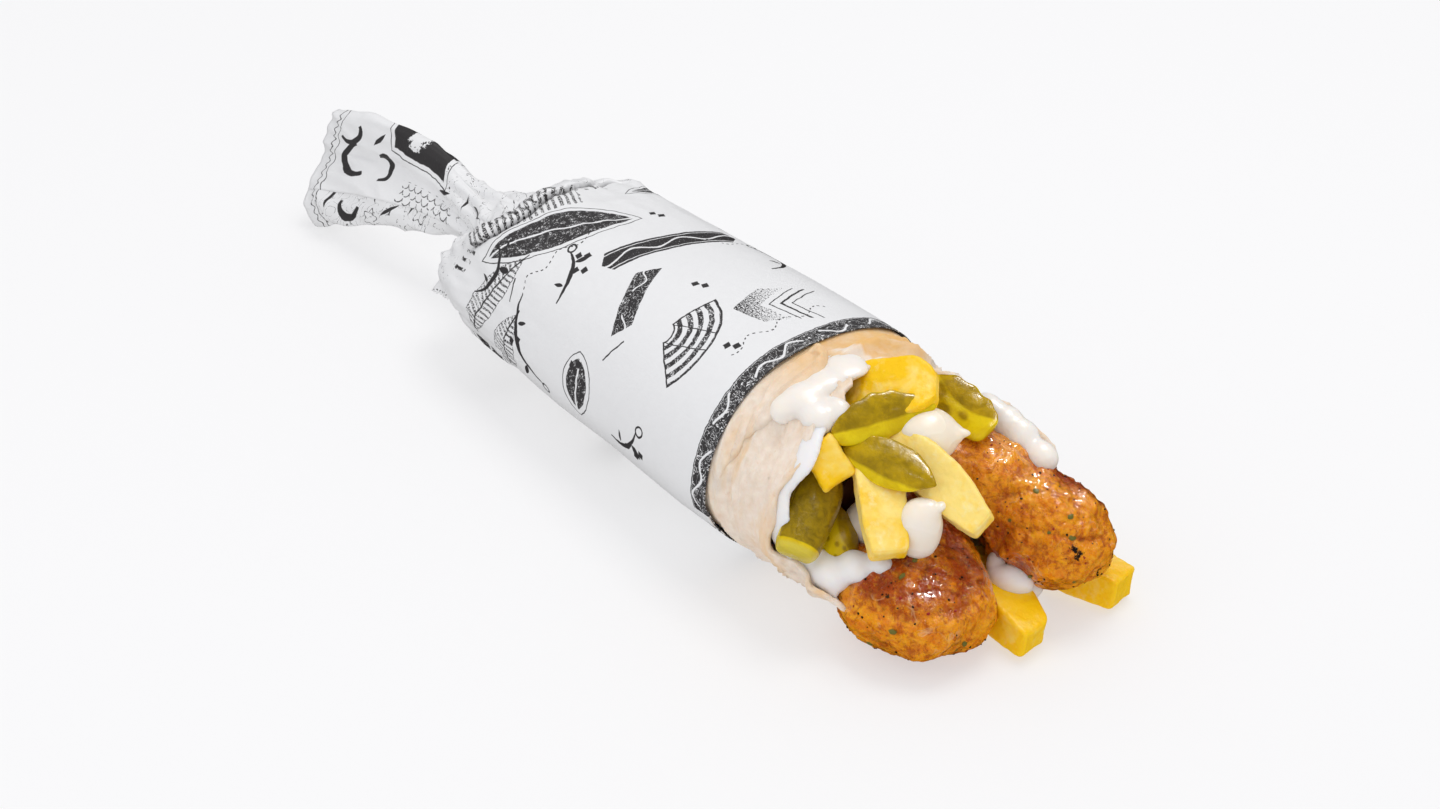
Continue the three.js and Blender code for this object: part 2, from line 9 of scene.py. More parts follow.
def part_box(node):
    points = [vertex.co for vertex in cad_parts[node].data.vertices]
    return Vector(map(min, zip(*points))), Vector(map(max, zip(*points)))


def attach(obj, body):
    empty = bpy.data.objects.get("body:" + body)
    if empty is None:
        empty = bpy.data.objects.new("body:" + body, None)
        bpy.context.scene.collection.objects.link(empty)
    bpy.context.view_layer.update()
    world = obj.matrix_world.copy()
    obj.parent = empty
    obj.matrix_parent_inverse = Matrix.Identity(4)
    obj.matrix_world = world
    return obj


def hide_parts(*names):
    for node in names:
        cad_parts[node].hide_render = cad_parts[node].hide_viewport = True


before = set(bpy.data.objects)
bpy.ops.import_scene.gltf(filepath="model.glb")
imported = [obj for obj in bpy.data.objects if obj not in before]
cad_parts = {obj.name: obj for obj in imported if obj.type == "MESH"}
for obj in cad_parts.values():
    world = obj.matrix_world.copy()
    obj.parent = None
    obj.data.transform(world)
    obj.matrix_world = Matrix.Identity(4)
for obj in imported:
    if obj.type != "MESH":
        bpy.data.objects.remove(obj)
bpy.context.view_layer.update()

# ---------------------------------------------------------------- where the wrap lies
# Lengths are millimetres in the wrap's own frame: x = 0 is the paper's front edge, with the open end towards
# +x, y points away from the side that is looked at, and z = 0 is the table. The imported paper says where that
# frame is in the part's: its front edge is the paper's highest x, and its near side the paper's lowest y.
MM = 0.001
ROLL_HALF_WIDTH = 38.0
ROLL_HALF_HEIGHT = 31.0
TABLE_FLAT = 0.5  # height cut off what rests on the table
paper_low, paper_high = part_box("paper_wrapper")
TO_PART = np.array([paper_high.x / MM, paper_low.y / MM + ROLL_HALF_WIDTH, -TABLE_FLAT])


def in_part(points):
    """Points of the wrap's own frame as metres in the part's."""
    return (np.asarray(points, float) + TO_PART) * MM


# ---------------------------------------------------------------- camera, light and table
# The photograph's view: 33 degrees down and 50.5 degrees off the roll, from 0.8 m, through a long lens. A big
# soft light stands behind and to the right, a weaker one in front, and the white table fills the frame.
WIDE, HIGH = 1440, 809  # pixels of the photograph
AZIMUTH, DOWN = math.radians(50.5), math.radians(33)
DISTANCE, LENS, SENSOR = 800.0, 75.2, 36.0
AIM, AIM_PIXEL = Vector((0, 0, ROLL_HALF_HEIGHT)), (816, 441)

to_camera = Vector((math.sin(AZIMUTH) * math.cos(DOWN), -math.cos(AZIMUTH) * math.cos(DOWN), math.sin(DOWN)))
to_right = Vector((math.cos(AZIMUTH), math.sin(AZIMUTH), 0))
to_top = to_camera.cross(to_right)
pixels_per_slope = LENS / SENSOR * WIDE
slope_right = (AIM_PIXEL[0] - WIDE / 2) / pixels_per_slope
slope_down = (AIM_PIXEL[1] - HIGH / 2) / pixels_per_slope
eye = AIM + DISTANCE * (to_camera - slope_right * to_right + slope_down * to_top)

camera = bpy.data.objects.new("camera", bpy.data.cameras.new("camera"))
camera.data.lens = LENS
camera.data.sensor_width = SENSOR
camera.data.clip_end = 20
camera.matrix_world = Matrix.Translation(in_part(eye)) @ Matrix(
    (to_right, to_top, to_camera)).transposed().to_4x4()
bpy.context.scene.collection.objects.link(camera)
bpy.context.scene.camera = camera

scene = bpy.context.scene
scene.view_settings.view_transform = "Standard"
world = bpy.data.worlds.new("studio")
world.use_nodes = True
world.node_tree.nodes["Background"].inputs["Color"].default_value = (0.965, 0.97, 1.0, 1)
world.node_tree.nodes["Background"].inputs["Strength"].default_value = 0.86
world.cycles_visibility.glossy = False  # only the lamps glint on what is wet
scene.world = world


def soft_light(name, right, away, height, size, power, colour, only_glints=False):
    """A square area light that looks at the wrap: millimetres right of, behind and above its middle."""
    light = bpy.data.lights.new(name, "AREA")
    light.size = size * MM
    light.energy = power
    light.color = colour
    lamp = bpy.data.objects.new(name, light)
    deeper = Vector((-to_camera.x, -to_camera.y, 0)).normalized()
    place = Vector((-30, 0, 0)) + right * to_right + away * deeper + Vector((0, 0, height))
    aim = (Vector((-30, 0, 25)) - place).normalized()
    lamp.matrix_world = Matrix.Translation(in_part(place)) @ aim.to_track_quat("-Z", "Y").to_matrix().to_4x4()
    lamp.visible_diffuse = not only_glints
    lamp.visible_glossy = name != "fill"
    scene.collection.objects.link(lamp)


soft_light("glints", right=300, away=260, height=900, size=150, power=6, colour=(1, 1, 1), only_glints=True)
soft_light("key", right=210, away=140, height=1150, size=520, power=3.4, colour=(1, 0.985, 0.96))
soft_light("fill", right=-600, away=-450, height=650, size=700, power=0.9, colour=(0.97, 0.975, 1))

TABLE_HALF = 4.0  # metres
table_mesh = bpy.data.meshes.new("table")
table_mesh.from_pydata(
    [(x * TABLE_HALF, y * TABLE_HALF, 0) for x, y in ((-1, -1), (1, -1), (1, 1), (-1, 1))], [], [(0, 1, 2, 3)])
table = bpy.data.objects.new("table", table_mesh)
table.visible_glossy = False  # like the room, it doesn't dull what is wet
scene.collection.objects.link(table)
table_paint = bpy.data.materials.new("table_paint")
table_paint.use_nodes = True
table_shader = table_paint.node_tree.nodes["Principled BSDF"]
table_shader.inputs["Base Color"].default_value = (0.40, 0.40, 0.40, 1)
table_shader.inputs["Emission Color"].default_value = (1, 0.995, 1, 1)
table_shader.inputs["Emission Strength"].default_value = 0.515  # lit from below as well, so shadows stay pale
table_shader.inputs["Roughness"].default_value = 0.8
table_shader.inputs["Specular IOR Level"].default_value = 0.1
table_mesh.materials.append(table_paint)

# ---------------------------------------------------------------- printed paper
# One sheet of thin white food paper, printed in black on the outside. It is rolled round the bread with its
# free edge low on the near side, twisted shut behind the filling, and its spare end fans out as a flat tail.
# The sections repeat the construction's: z, w and h are shares of the roll's half height and half width.
PAPER_WALL = 0.3
PAPER_SECTIONS = np.array([
    # x      y     z      w      h      lean  tilt  gather pleat turn
    [0, 0, 1, 1, 1, 0, 0, 0, 0, 0],
    [-30, 0.8, 0.981, 0.982, 0.981, 0, 0, 0, 0, 0],
    [-60, 2.1, 0.961, 0.955, 0.961, 0.02, 0, 0.1, 0, 0],
    [-90, 3.8, 0.932, 0.918, 0.932, 0.06, 0, 0.3, 0, 0],
    [-108, 5.2, 0.916, 0.895, 0.916, 0.14, 0, 0.6, 0, 0],
    [-120, 6.2, 0.906, 0.868, 0.903, 0.26, 0, 1, 0, 2],
    [-129, 7.6, 0.897, 0.795, 0.858, 0.34, 0, 1.3, 0, 4],
    [-135, 7.4, 0.897, 0.658, 0.755, 0.36, 0, 1.5, 0, 8],
    [-140, 6.2, 0.903, 0.447, 0.581, 0.28, 0, 1.3, 0, 18],
    [-145, 4.2, 0.923, 0.289, 0.4, 0.12, 0, 1, 0, 40],
    [-152, 3, 0.968, 0.184, 0.284, 0, 0.1, 0.9, 0.3, 60],
    [-161, 2, 1, 0.142, 0.284, 0, 0.2, 0.6, 0.8, 60],
    [-176, 1, 1.01, 0.105, 0.4, 0, 0.3, 0.3, 1.4, 60],
    [-192, -1, 0.968, 0.084, 0.49, 0, 0.34, 0.1, 2, 60],
    [-206, -2.5, 0.877, 0.068, 0.542, 0, 0.36, 0, 2.3, 60],
    [-218, -4, 0.761, 0.063, 0.574, 0, 0.36, 0, 2.4, 60],
    [-228, -4.5, 0.645, 0.063, 0.59, 0, 0.36, 0, 2.4, 60],
]) * [1, 1, ROLL_HALF_HEIGHT, ROLL_HALF_WIDTH, ROLL_HALF_HEIGHT, 1, 1, 1, 1, 1]
GATHERS = 9
PLEATS = 1.3
TAIL_BOW = 5


def smooth(at, low, high):
    """0 before low, 1 after high, eased between."""
    share = np.clip((np.asarray(at, float) - low) / (high - low), 0, 1)
    return share * share * (3 - 2 * share)


def mix(a, b, share):
    return a + (b - a) * share


def zigzag(t):
    """A sharp fold from -1 to 1 with a period of 1."""
    return 4 * np.abs(t - np.floor(t + 0.5)) - 1


def ripples(points, wave, seed, count=16):
    """Soft random relief, about -1 to 1, with lumps half a wave across: crossed waves in random directions."""
    draw = np.random.default_rng(seed)
    heading = draw.normal(size=(count, 3))
    heading /= np.linalg.norm(heading, axis=1, keepdims=True)
    rate = 2 * math.pi / wave * draw.uniform(0.6, 1.5, count)
    phase = draw.uniform(0, 2 * math.pi, count)
    waves = np.sin(points.reshape(-1, 3) @ (heading * rate[:, None]).T + phase)
    return waves.sum(1).reshape(points.shape[:-1]) / math.sqrt(count)


def creases(points, wave, seed, narrow=1.8):
    """Thin ridges, from 0 to 1, where soft relief changes sign."""
    return np.maximum(0, 1 - np.abs(ripples(points, wave, seed)) * narrow) ** 2


def section_at(x):
    """The roll's section at each x, eased between the rows of the table: y, z, w, h and so on."""
    stations = PAPER_SECTIONS[:, 0]
    last = len(stations) - 1
    row = np.clip(np.searchsorted(-stations, -np.asarray(x, float)) - 1, 0, last - 1)
    a, b, c, d = (PAPER_SECTIONS[np.clip(row + step, 0, last)] for step in (-1, 0, 1, 2))
    t = np.maximum(0, (b[..., 0] - x) / (b[..., 0] - c[..., 0]))[..., None]
    eased = b + 0.5 * t * (c - a + t * (2 * a - 5 * b + 4 * c - d + t * (3 * (b - c) + d - a)))
    return np.moveaxis(eased[..., 1:], -1, 0)


def rounded(angle, half_width, half_height, squareness):
    """Across and up of a rounded section: angle 0 is the far side, 90 the top, 180 the near side."""
    across, up = np.cos(angle), np.sin(angle)
    power = 2 / squareness
    return (half_width * np.sign(across) * np.abs(across) ** power,
            half_height * np.sign(up) * np.abs(up) ** power)


def squareness(angle):
    """The roll sags: it is boxier far and high than near and low."""
    return 2.1 + 0.3 * np.cos(angle - math.pi / 4)


def leant(lean, across, up):
    """How far forward a point of a leaning section sits."""
    return lean * (across + 0.9 * np.maximum(up, 0))


def paper_skin(x, angle):
    """Points of the outside of the paper."""
    y, z, w, h, lean, tilt, gather, pleat, turn = section_at(x)
    flat = smooth(-x, 150, 185)
    fold = gather * zigzag(GATHERS * (angle + np.radians(turn)) / (2 * math.pi))
    across, up = rounded(angle, w + fold, h + fold * (1 - flat), mix(squareness(angle), 2, flat))
    sway = math.pi * PLEATS * up / h + 0.9
    pleated = pleat * mix(np.sin(sway), np.arcsin(np.sin(sway)) * 2 / math.pi, 0.7)
    fan = TAIL_BOW * (1 - (up / h) ** 2) * smooth(-x, 196, 228)
    return np.stack([x + leant(lean, across, up) - fan, y + across + pleated + tilt * up, z + up], -1)


def grid_normals(points):
    """Unit normals of a grid of points, to the side that its columns and rows turn to."""
    normal = np.cross(np.gradient(points, axis=1), np.gradient(points, axis=0))
    return normal / np.maximum(np.linalg.norm(normal, axis=-1, keepdims=True), 1e-9)


def grid_faces(rows, columns):
    """Quads of a grid whose points are numbered row by row."""
    corner = (np.arange(rows - 1)[:, None] * columns + np.arange(columns - 1)).ravel()
    return np.stack([corner, corner + 1, corner + columns + 1, corner + columns], 1)


def new_piece(name, points, faces):
    """A smooth mesh object from points in the wrap's own frame."""
    mesh = bpy.data.meshes.new(name)
    mesh.from_pydata(in_part(np.reshape(points, (-1, 3))).tolist(), [], [list(map(int, f)) for f in faces])
    mesh.shade_smooth()
    piece = bpy.data.objects.new(name, mesh)
    scene.collection.objects.link(piece)
    return piece


def made_plain(piece):
    """The piece with its modifiers turned into mesh."""
    evaluated = piece.evaluated_get(bpy.context.evaluated_depsgraph_get())
    plain = bpy.data.meshes.new_from_object(evaluated)
    piece.modifiers.clear()
    piece.data = plain
    return piece


SEAM_START, OVERLAP = math.radians(194), math.radians(11)
SEAM_LIFT = 0.45
paper_x = np.concatenate([
    np.linspace(0, -96, 72, endpoint=False),
    np.linspace(-96, -166, 112, endpoint=False),
    np.linspace(-166, -228, 58)])
paper_turn = np.linspace(SEAM_START, SEAM_START + 2 * math.pi + OVERLAP, 176)
X, TURN = np.meshgrid(paper_x, paper_turn, indexing="ij")
skin = paper_skin(X, TURN)
outwards = grid_normals(skin)
if (outwards[0, 44] * (skin[0, 44] - skin[0].mean(0))).sum() < 0:
    outwards = -outwards

# relief: soft dents, creases that run to the twist, sharp facets on the tail, and the rolled fold
behind = smooth(-X, 60, 125)
on_tail = smooth(-X, 158, 176)
stretched = skin * [0.3, 1, 1]
relief = 0.3 * ripples(skin, 60, 11) * (1 - on_tail)
relief += 0.28 * creases(skin * [0.8, 1, 1], 34, 12) * mix(0.35, 1, behind) * (1 - on_tail)
at_neck = smooth(-X, 112, 138) * smooth(X, -176, -150)
relief += (0.5 * creases(stretched, 17, 13) + 0.22 * ripples(stretched, 5, 14)) * behind * (1 - 0.5 * on_tail)
relief += (1.1 * creases(stretched, 13, 19, 2.6) + 0.35 * ripples(stretched, 6, 20)) * at_neck
relief += (1.0 * creases(stretched, 22, 15, 1.6) + 0.35 * ripples(stretched * [1.6, 1, 1], 9, 16)) * on_tail
FOLD_LINE = [(55, -122), (70, -127), (85, -125), (97, -120.5), (112, -118), (132, -117.5), (152, -123), (165, -127)]
fold_angle, fold_x = np.array(FOLD_LINE).T
degrees = np.degrees(TURN) % 360
off_fold = X - np.interp(degrees, fold_angle, fold_x)
fold_fade = smooth(degrees, 58, 78) * smooth(-degrees, -158, -140)
relief += 1.9 * fold_fade * np.exp(-(np.minimum(off_fold + 1.5, 0) / 3.2) ** 2) * smooth(-off_fold, -0.6, 0.5)
relief -= 1.3 * fold_fade * np.exp(-((off_fold - 1.4) / 0.9) ** 2)
relief -= 4.5 * fold_fade * smooth(-off_fold, 4.5, 9.5) * smooth(X, -149, -136)
lift = SEAM_LIFT * smooth(TURN, SEAM_START + 2 * math.pi - 0.35, SEAM_START + 2 * math.pi - 0.02)
relief += lift * mix(1, 0.4, smooth(-X, 120, 150))
overhang = 1.9 * fold_fade * np.exp(-(np.minimum(off_fold + 1.5, 0) / 2.6) ** 2) * smooth(-off_fold, -0.8, 0.4)
rim = np.stack([0.25 * ripples(skin, 22, 17) * smooth(X, -6, 0) + overhang, 0 * X, 0 * X], -1)
skin = skin + outwards * relief[..., None] + rim
skin[..., 2] = np.maximum(skin[..., 2], TABLE_FLAT + 0.05)

steps_round = np.linalg.norm(np.diff(paper_skin(X, TURN), axis=1), axis=-1)
round_length = np.concatenate([np.zeros((len(X), 1)), np.cumsum(steps_round, axis=1)], axis=1)
near_side = np.array([np.interp(3 * math.pi, paper_turn, row) for row in round_length])
sheet_u, sheet_v = -X / 100, (round_length - near_side[:, None]) / 100

# a corner of the sheet that is folded out beside the twist, with a pinked lower edge
CORNER = np.array([  # x, y, z of its middle line, then from there to its upper edge
    (-122, -22.5, 29, 0, 1, 5), (-132, -21.5, 28.5, 1, 1.5, 7), (-139.5, -20.5, 26.5, 1, 1.5, 6.8),
    (-146.5, -19.5, 21.5, 1, 1.2, 3.2)], float)
CORNER_V = 3.0  # where it lies on the sheet, across the print: clear of the roll, in hundreds of millimetres
corner_along = np.linspace(0, 1, 60)
corner_rows = np.stack([np.interp(corner_along * 3, range(4), column) for column in CORNER.T], -1)
ALONG, UP = np.meshgrid(corner_along, np.linspace(-1, 1, 40), indexing="ij")
corner = corner_rows[:, None, :3] + corner_rows[:, None, 3:] * UP[..., None]
pinked = smooth(-UP, 0.85, 1) * zigzag(ALONG * 13) * 0.9
corner = corner + pinked[..., None] * corner_rows[:, None, 3:] / 10
corner[..., 1] += 0.9 * ripples(corner, 11, 18) * smooth(ALONG, 0.1, 0.4) + 1.5 * UP * ALONG
corner_u = 2.5 + ALONG * 0.26
corner_v = CORNER_V + (UP + 1) * 0.1

sheet_points = np.concatenate([skin.reshape(-1, 3), corner.reshape(-1, 3)])
sheet_faces = np.concatenate([grid_faces(*X.shape), grid_faces(*ALONG.shape) + X.size])
paper = new_piece("printed_paper", sheet_points, sheet_faces)
uv_of_point = np.concatenate([
    np.stack([sheet_u, sheet_v], -1).reshape(-1, 2), np.stack([corner_u, corner_v], -1).reshape(-1, 2)])


def give_uv(piece, name, uv_of_point):
    """A UV map that holds one pair of numbers for each point."""
    layer = piece.data.uv_layers.new(name=name)
    corner_points = np.empty(len(piece.data.loops), np.int32)
    piece.data.loops.foreach_get("vertex_index", corner_points)
    layer.data.foreach_set("uv", np.ascontiguousarray(uv_of_point[corner_points], np.float32).ravel())


give_uv(paper, "sheet", uv_of_point)
# painted shade: a dark line along the rolled fold's crease, where the fold's overhang shades the roll
in_crease = fold_fade * np.exp(-((off_fold - 1.1) / 0.75) ** 2)


def give_number(piece, name, values):
    """A number for each point of the piece, for its material."""
    layer = piece.data.attributes.new(name, "FLOAT", "POINT")
    layer.data.foreach_set("value", np.asarray(values, np.float32))


give_number(paper, "in_crease", [*in_crease.ravel(), *np.zeros(ALONG.size)])


class Amount:
    """A number that varies over a surface: a shader socket that takes ordinary arithmetic."""

    def __init__(self, tree, socket):
        self.tree, self.socket = tree, socket

    def by(self, operation, *others, clamp=False):
        node = self.tree.nodes.new("ShaderNodeMath")
        node.operation = operation
        node.use_clamp = clamp
        for slot, value in zip(node.inputs, (self, *others)):
            if isinstance(value, Amount):
                self.tree.links.new(value.socket, slot)
            else:
                slot.default_value = value
        return Amount(self.tree, node.outputs[0])

    def __add__(self, other):
        return self.by("ADD", other)

    def __sub__(self, other):
        return self.by("SUBTRACT", other)

    def __mul__(self, other):
        return self.by("MULTIPLY", other)

    def __truediv__(self, other):
        return self.by("DIVIDE", other)

    def __rsub__(self, other):
        return self * -1.0 + other

    def __neg__(self):
        return self * -1.0

    def __abs__(self):
        return self.by("ABSOLUTE")

    def least(self, other):
        return self.by("MINIMUM", other)

    def most(self, other):
        return self.by("MAXIMUM", other)

    def wave(self):
        return self.by("SINE")

    def between(self, low, high):
        """0 at low and 1 at high, clamped."""
        return ((self - low) / (high - low)).by("ADD", 0.0, clamp=True)


def combined(tree, x, y, z=0.0):
    node = tree.nodes.new("ShaderNodeCombineXYZ")
    for slot, value in zip(node.inputs, (x, y, z)):
        if isinstance(value, Amount):
            tree.links.new(value.socket, slot)
        else:
            slot.default_value = value
    return node.outputs[0]


def noise(tree, vector, scale, detail=3.0, roughness=0.55, distortion=0.0):
    """Cloudy noise from 0 to 1, with `scale` clouds to a unit of the vector."""
    node = tree.nodes.new("ShaderNodeTexNoise")
    node.inputs["Scale"].default_value = scale
    node.inputs["Detail"].default_value = detail
    node.inputs["Roughness"].default_value = roughness
    node.inputs["Distortion"].default_value = distortion
    tree.links.new(vector, node.inputs["Vector"])
    return Amount(tree, node.outputs["Fac"])


def placed(tree, scale=(1, 1, 1), turn=(0, 0, 0)):
    """Millimetres in the part's frame, turned and scaled."""
    at = tree.nodes.new("ShaderNodeTexCoord")
    mapping = tree.nodes.new("ShaderNodeMapping")
    mapping.inputs["Scale"].default_value = tuple(s / MM for s in scale)
    mapping.inputs["Rotation"].default_value = turn
    tree.links.new(at.outputs["Object"], mapping.inputs["Vector"])
    return mapping.outputs["Vector"]


def attribute(tree, name):
    node = tree.nodes.new("ShaderNodeAttribute")
    node.attribute_name = name
    return Amount(tree, node.outputs["Fac"])


def blended(tree, share, low, high):
    """One colour where the share is 0, the other where it is 1. A colour is RGB or a socket."""
    node = tree.nodes.new("ShaderNodeMix")
    node.data_type = "RGBA"
    tree.links.new(share.socket, node.inputs["Factor"])
    for slot, colour in ((node.inputs[6], low), (node.inputs[7], high)):
        if isinstance(colour, tuple):
            slot.default_value = (*colour, 1)
        else:
            tree.links.new(colour, slot)
    return node.outputs[2]


def new_finish(name, roughness=0.5, specular=0.5):
    """A material's node tree and its shader."""
    finish = bpy.data.materials.new(name)
    finish.use_nodes = True
    shader = finish.node_tree.nodes["Principled BSDF"]
    shader.inputs["Roughness"].default_value = roughness
    shader.inputs["Specular IOR Level"].default_value = specular
    return finish, finish.node_tree, shader


def raised(tree, shader, height, depth):
    """Bump: the height, from 0 to 1, stands for a depth in millimetres."""
    node = tree.nodes.new("ShaderNodeBump")
    node.inputs["Distance"].default_value = depth * MM
    tree.links.new(height.socket, node.inputs["Height"])
    tree.links.new(node.outputs["Normal"], shader.inputs["Normal"])


paper_finish, ink_tree, paper_shader = new_finish("printed_food_paper", roughness=0.42, specular=0.35)
sheet_node = ink_tree.nodes.new("ShaderNodeUVMap")
sheet_node.uv_map = "sheet"
sheet_split = ink_tree.nodes.new("ShaderNodeSeparateXYZ")
ink_tree.links.new(sheet_node.outputs["UV"], sheet_split.inputs["Vector"])
true_u = Amount(ink_tree, sheet_split.outputs["X"]) * 100
true_v = Amount(ink_tree, sheet_split.outputs["Y"]) * 100
sheet = combined(ink_tree, true_u, true_v)
hand_u = true_u + (noise(ink_tree, sheet, 0.3, 2) - 0.5) * 0.9  # the hand that drew it wavers
hand_v = true_v + (noise(ink_tree, combined(ink_tree, true_v, true_u, 7.0), 0.3, 2) - 0.5) * 0.9
grain = noise(ink_tree, sheet, 2.1, 2, 0.7)
coarse_grain = noise(ink_tree, sheet, 0.55, 4, 0.8)
ROUND = 110.0  # the print repeats after half a turn
around_v = hand_v - ((hand_v + 83) / ROUND).by("FLOOR") * ROUND

INK_EDGE = 0.14


def spot(u, v, turn=0, at=None):
    """Coordinates along and across a motif that is centred at u, v on the sheet and turned by degrees."""
    off_u, off_v = hand_u - u, (around_v if at is None else at) - v
    c, s = math.cos(math.radians(turn)), math.sin(math.radians(turn))
    return off_u * c + off_v * s, off_v * c - off_u * s


def far(p, q):
    return (p * p + q * q).by("SQRT")


def filled(distance):
    """Ink where the distance is below zero."""
    return (distance / -INK_EDGE).by("ADD", 0.5, clamp=True)


def line(distance, width):
    return filled(abs(distance) - width / 2)


def leaf(p, q, length, width):
    """Distance from a pointed oval."""
    radius = (length ** 2 + width ** 2) / (4 * width)
    return far(p, abs(q) + (radius - width / 2)) - radius


def bar(p, q, length, width):
    return (abs(p) - length / 2).most(abs(q) - width / 2)


def diamond(p, q, size):
    return (abs(p) + abs(q)) * 0.707 - size / 2


def crescent(p, q, radius, thick, offset):
    """Distance from a stroke that swells and thins along an arc."""
    return (far(p, q) - radius).most((radius - thick) - far(p - offset, q))


def union(*inks):
    total = inks[0]
    for ink in inks[1:]:
        total = total.most(ink)
    return total


def cut(ink, hole):
    return ink.least(1 - hole)


grainy = (coarse_grain * 0.6 + grain * 0.6).between(0.5, 0.56)
inks = []

# border band along the front edge: grainy black, with a broken white flourish and fine hatching
band = filled((hand_u - 5.3).most(hand_v - 8.0))
flourish = hand_u - 2.8 - (hand_v * 0.62).wave() * 1.25 - (hand_v * 0.23 + 1.0).wave() * 0.8
broken = ((hand_v * 0.47).wave() + (hand_v * 0.31 + 2.0).wave()).between(-0.5, -0.3)
squiggles = (0.017 - abs(noise(ink_tree, sheet, 0.42, 1, 0.5, 1.5) - 0.5)).between(0.0, 0.006)
fine_squiggles = (0.014 - abs(noise(ink_tree, sheet, 0.55, 1, 0.5, 1.0) - 0.47)).between(0.0, 0.008)
hatching = ((hand_v * 5.2).wave() + (hand_u * 5.2).wave() * 0.6 - 0.7).between(0.0, 0.3) * coarse_grain.between(0.56, 0.62)
scribbles = union(line(flourish, 0.8) * broken, squiggles, fine_squiggles * coarse_grain.between(0.5, 0.56))
inks.append(cut(cut(band, scribbles), hatching) * (grain + coarse_grain * 0.35).between(0.41, 0.48))
inks.append(line(hand_u - 5.6 - (coarse_grain - 0.5) * 0.8, 0.35) * filled(hand_v - 8.0))

# a ribbon with pointed ends and a white wave
p, q = spot(70, -55, 76)
ribbon = filled((abs(q) - 4.4).most((abs(p) + abs(q) * 0.6) - 21))
inks.append(cut(ribbon, union(line(q - (p * 0.42).wave() * 1.6, 0.8), line(abs(q) - 3.3, 0.35))) * (grain.between(0.28, 0.36)))

# a slanted label with white squiggles
p, q = spot(56, -33, 118)
label = filled(bar(p + q * 0.5, q, 21, 6.4))
inks.append(cut(label, union(squiggles, line(q - (p * 0.8).wave() * 1.2, 0.6) * broken)) * grain.between(0.3, 0.38))

# a striped fan
p, q = spot(38, -30, 200)
fan_r, fan_turn = far(p, q), q.by("ARCTAN2", p)
fan_area = (fan_r - 17).most(-fan_r + 3.5).most((abs(fan_turn) - 1.05) * fan_r)
fan_stripes = filled((fan_r * 2.1).wave() * 0.4 - 0.02) * (coarse_grain + grain).between(0.82, 0.95)
inks.append(filled(fan_area) * fan_stripes)
inks.append(line(fan_area, 0.5))
inks.append(line(abs(fan_turn) * fan_r - 3.2, 0.35) * filled(fan_area))

# arrowheads, one inside the other, the last one stippled
p, q = spot(20, -62, 60)
for step, width in ((0, 0.5), (3.2, 0.9), (6.4, 0.5)):
    inks.append(line(p - step + abs(q) * 0.9, width) * filled(abs(q) - 8.5))
arrow_fill = filled((p - 16.5 + abs(q) * 0.9).most(-(p - 9.0 + abs(q) * 0.9)).most(abs(q) - 8.5))
inks.append(arrow_fill * (grain + p * 0.012).between(0.60, 0.66))

# leaves and panels of grainy black
for u, v, turn, length, width in ((101, -36, 58, 44, 15), (60, -3, 100, 15, 9), (112, -78, 100, 26, 9)):
    p, q = spot(u, v, turn)
    shape = leaf(p, q, length, width)
    vein = line(q + (p * 0.16).wave() * 0.8, 0.7)
    inks.append(cut(filled(shape), vein) * (coarse_grain * 0.7 + grain * 0.5).between(0.46, 0.56))
    inks.append(line(shape - 1.6, 0.32))

# sprigs: an arc that swells in its middle, with a ring at one end and leaves along it
for u, v, turn, radius, reach in (
        (74, -14, 40, 19, 0.75), (92, -20, 215, 13, 0.7), (50, -70, 250, 10, 1.2), (116, -14, 175, 9, 1.0), (40, -4, 120, 9, 0.9)):
    p, q = spot(u, v, turn)
    turn_here, stalk = q.by("ARCTAN2", p), far(p, q) - radius
    swelling = abs(stalk) - 0.22 - (abs(turn_here) / reach * -0.62 + 0.62).most(0.0)
    inks.append(filled(swelling.most((abs(turn_here) - reach) * radius)))
    inks.append(line(far(p - radius * math.cos(reach), q - radius * math.sin(reach) - 1.5) - 1.4, 0.6))
    inks.append(filled(leaf(stalk - 2.6, (turn_here - 0.35) * radius, 4.4, 1.7)))
    inks.append(filled(leaf(stalk + 2.8, (turn_here + 0.3) * radius, 3.6, 1.5)))

# small diamonds in twos and threes, and thin strokes
for u, v in ((44, -48), (90, -2), (16, -38), (62, -8), (88, -62), (30, 4), (84, -34), (80, -30)):
    p, q = spot(u, v, 30)
    inks.append(filled(diamond(abs(p) - 1.5, q, 1.9)))
for u, v, turn, length in ((50, -18, 60, 9), (98, -14, 110, 7), (72, -78, 20, 8)):
    p, q = spot(u, v, turn)
    inks.append(filled(bar(p, q, length, 0.45)))

# scribbled dashes along the rolled fold
p, q = spot(121, -34, 90)
dashes = filled((p * 1.9 + (q * 0.9).wave()).wave() * 0.35 + 0.14) * coarse_grain.between(0.47, 0.53)
inks.append(filled(bar(p, q, 56, 4.6)) * dashes)

# two feathers: fine hatching that fades to one side
for u, v, turn, length in ((106, -8, 70, 32), (96, 4, 74, 26)):
    p, q = spot(u, v, turn)
    feather = leaf(p, q, length, 9.5)
    barbs = filled((p * 3.6 + abs(q) * 1.4).wave() * 0.3 + q * 0.035 + 0.02) * (grain + q * 0.012).between(0.42, 0.52)
    inks.append(filled(feather) * barbs)
    inks.append(line(q, 0.5) * filled(abs(p) - length / 2 - 2))
    inks.append(line(feather, 0.3) * grain.between(0.44, 0.5))

# dotted waves
for u, v, turn, length in ((14, -52, 90, 34), (60, -72, 60, 26), (92, -28, 80, 30)):
    p, q = spot(u, v, turn)
    dots = filled((p * 4.2).wave() * 0.5 + 0.05)
    inks.append(line(q - (p * 0.55).wave() * 1.5, 0.45) * dots * filled(abs(p) - length / 2))

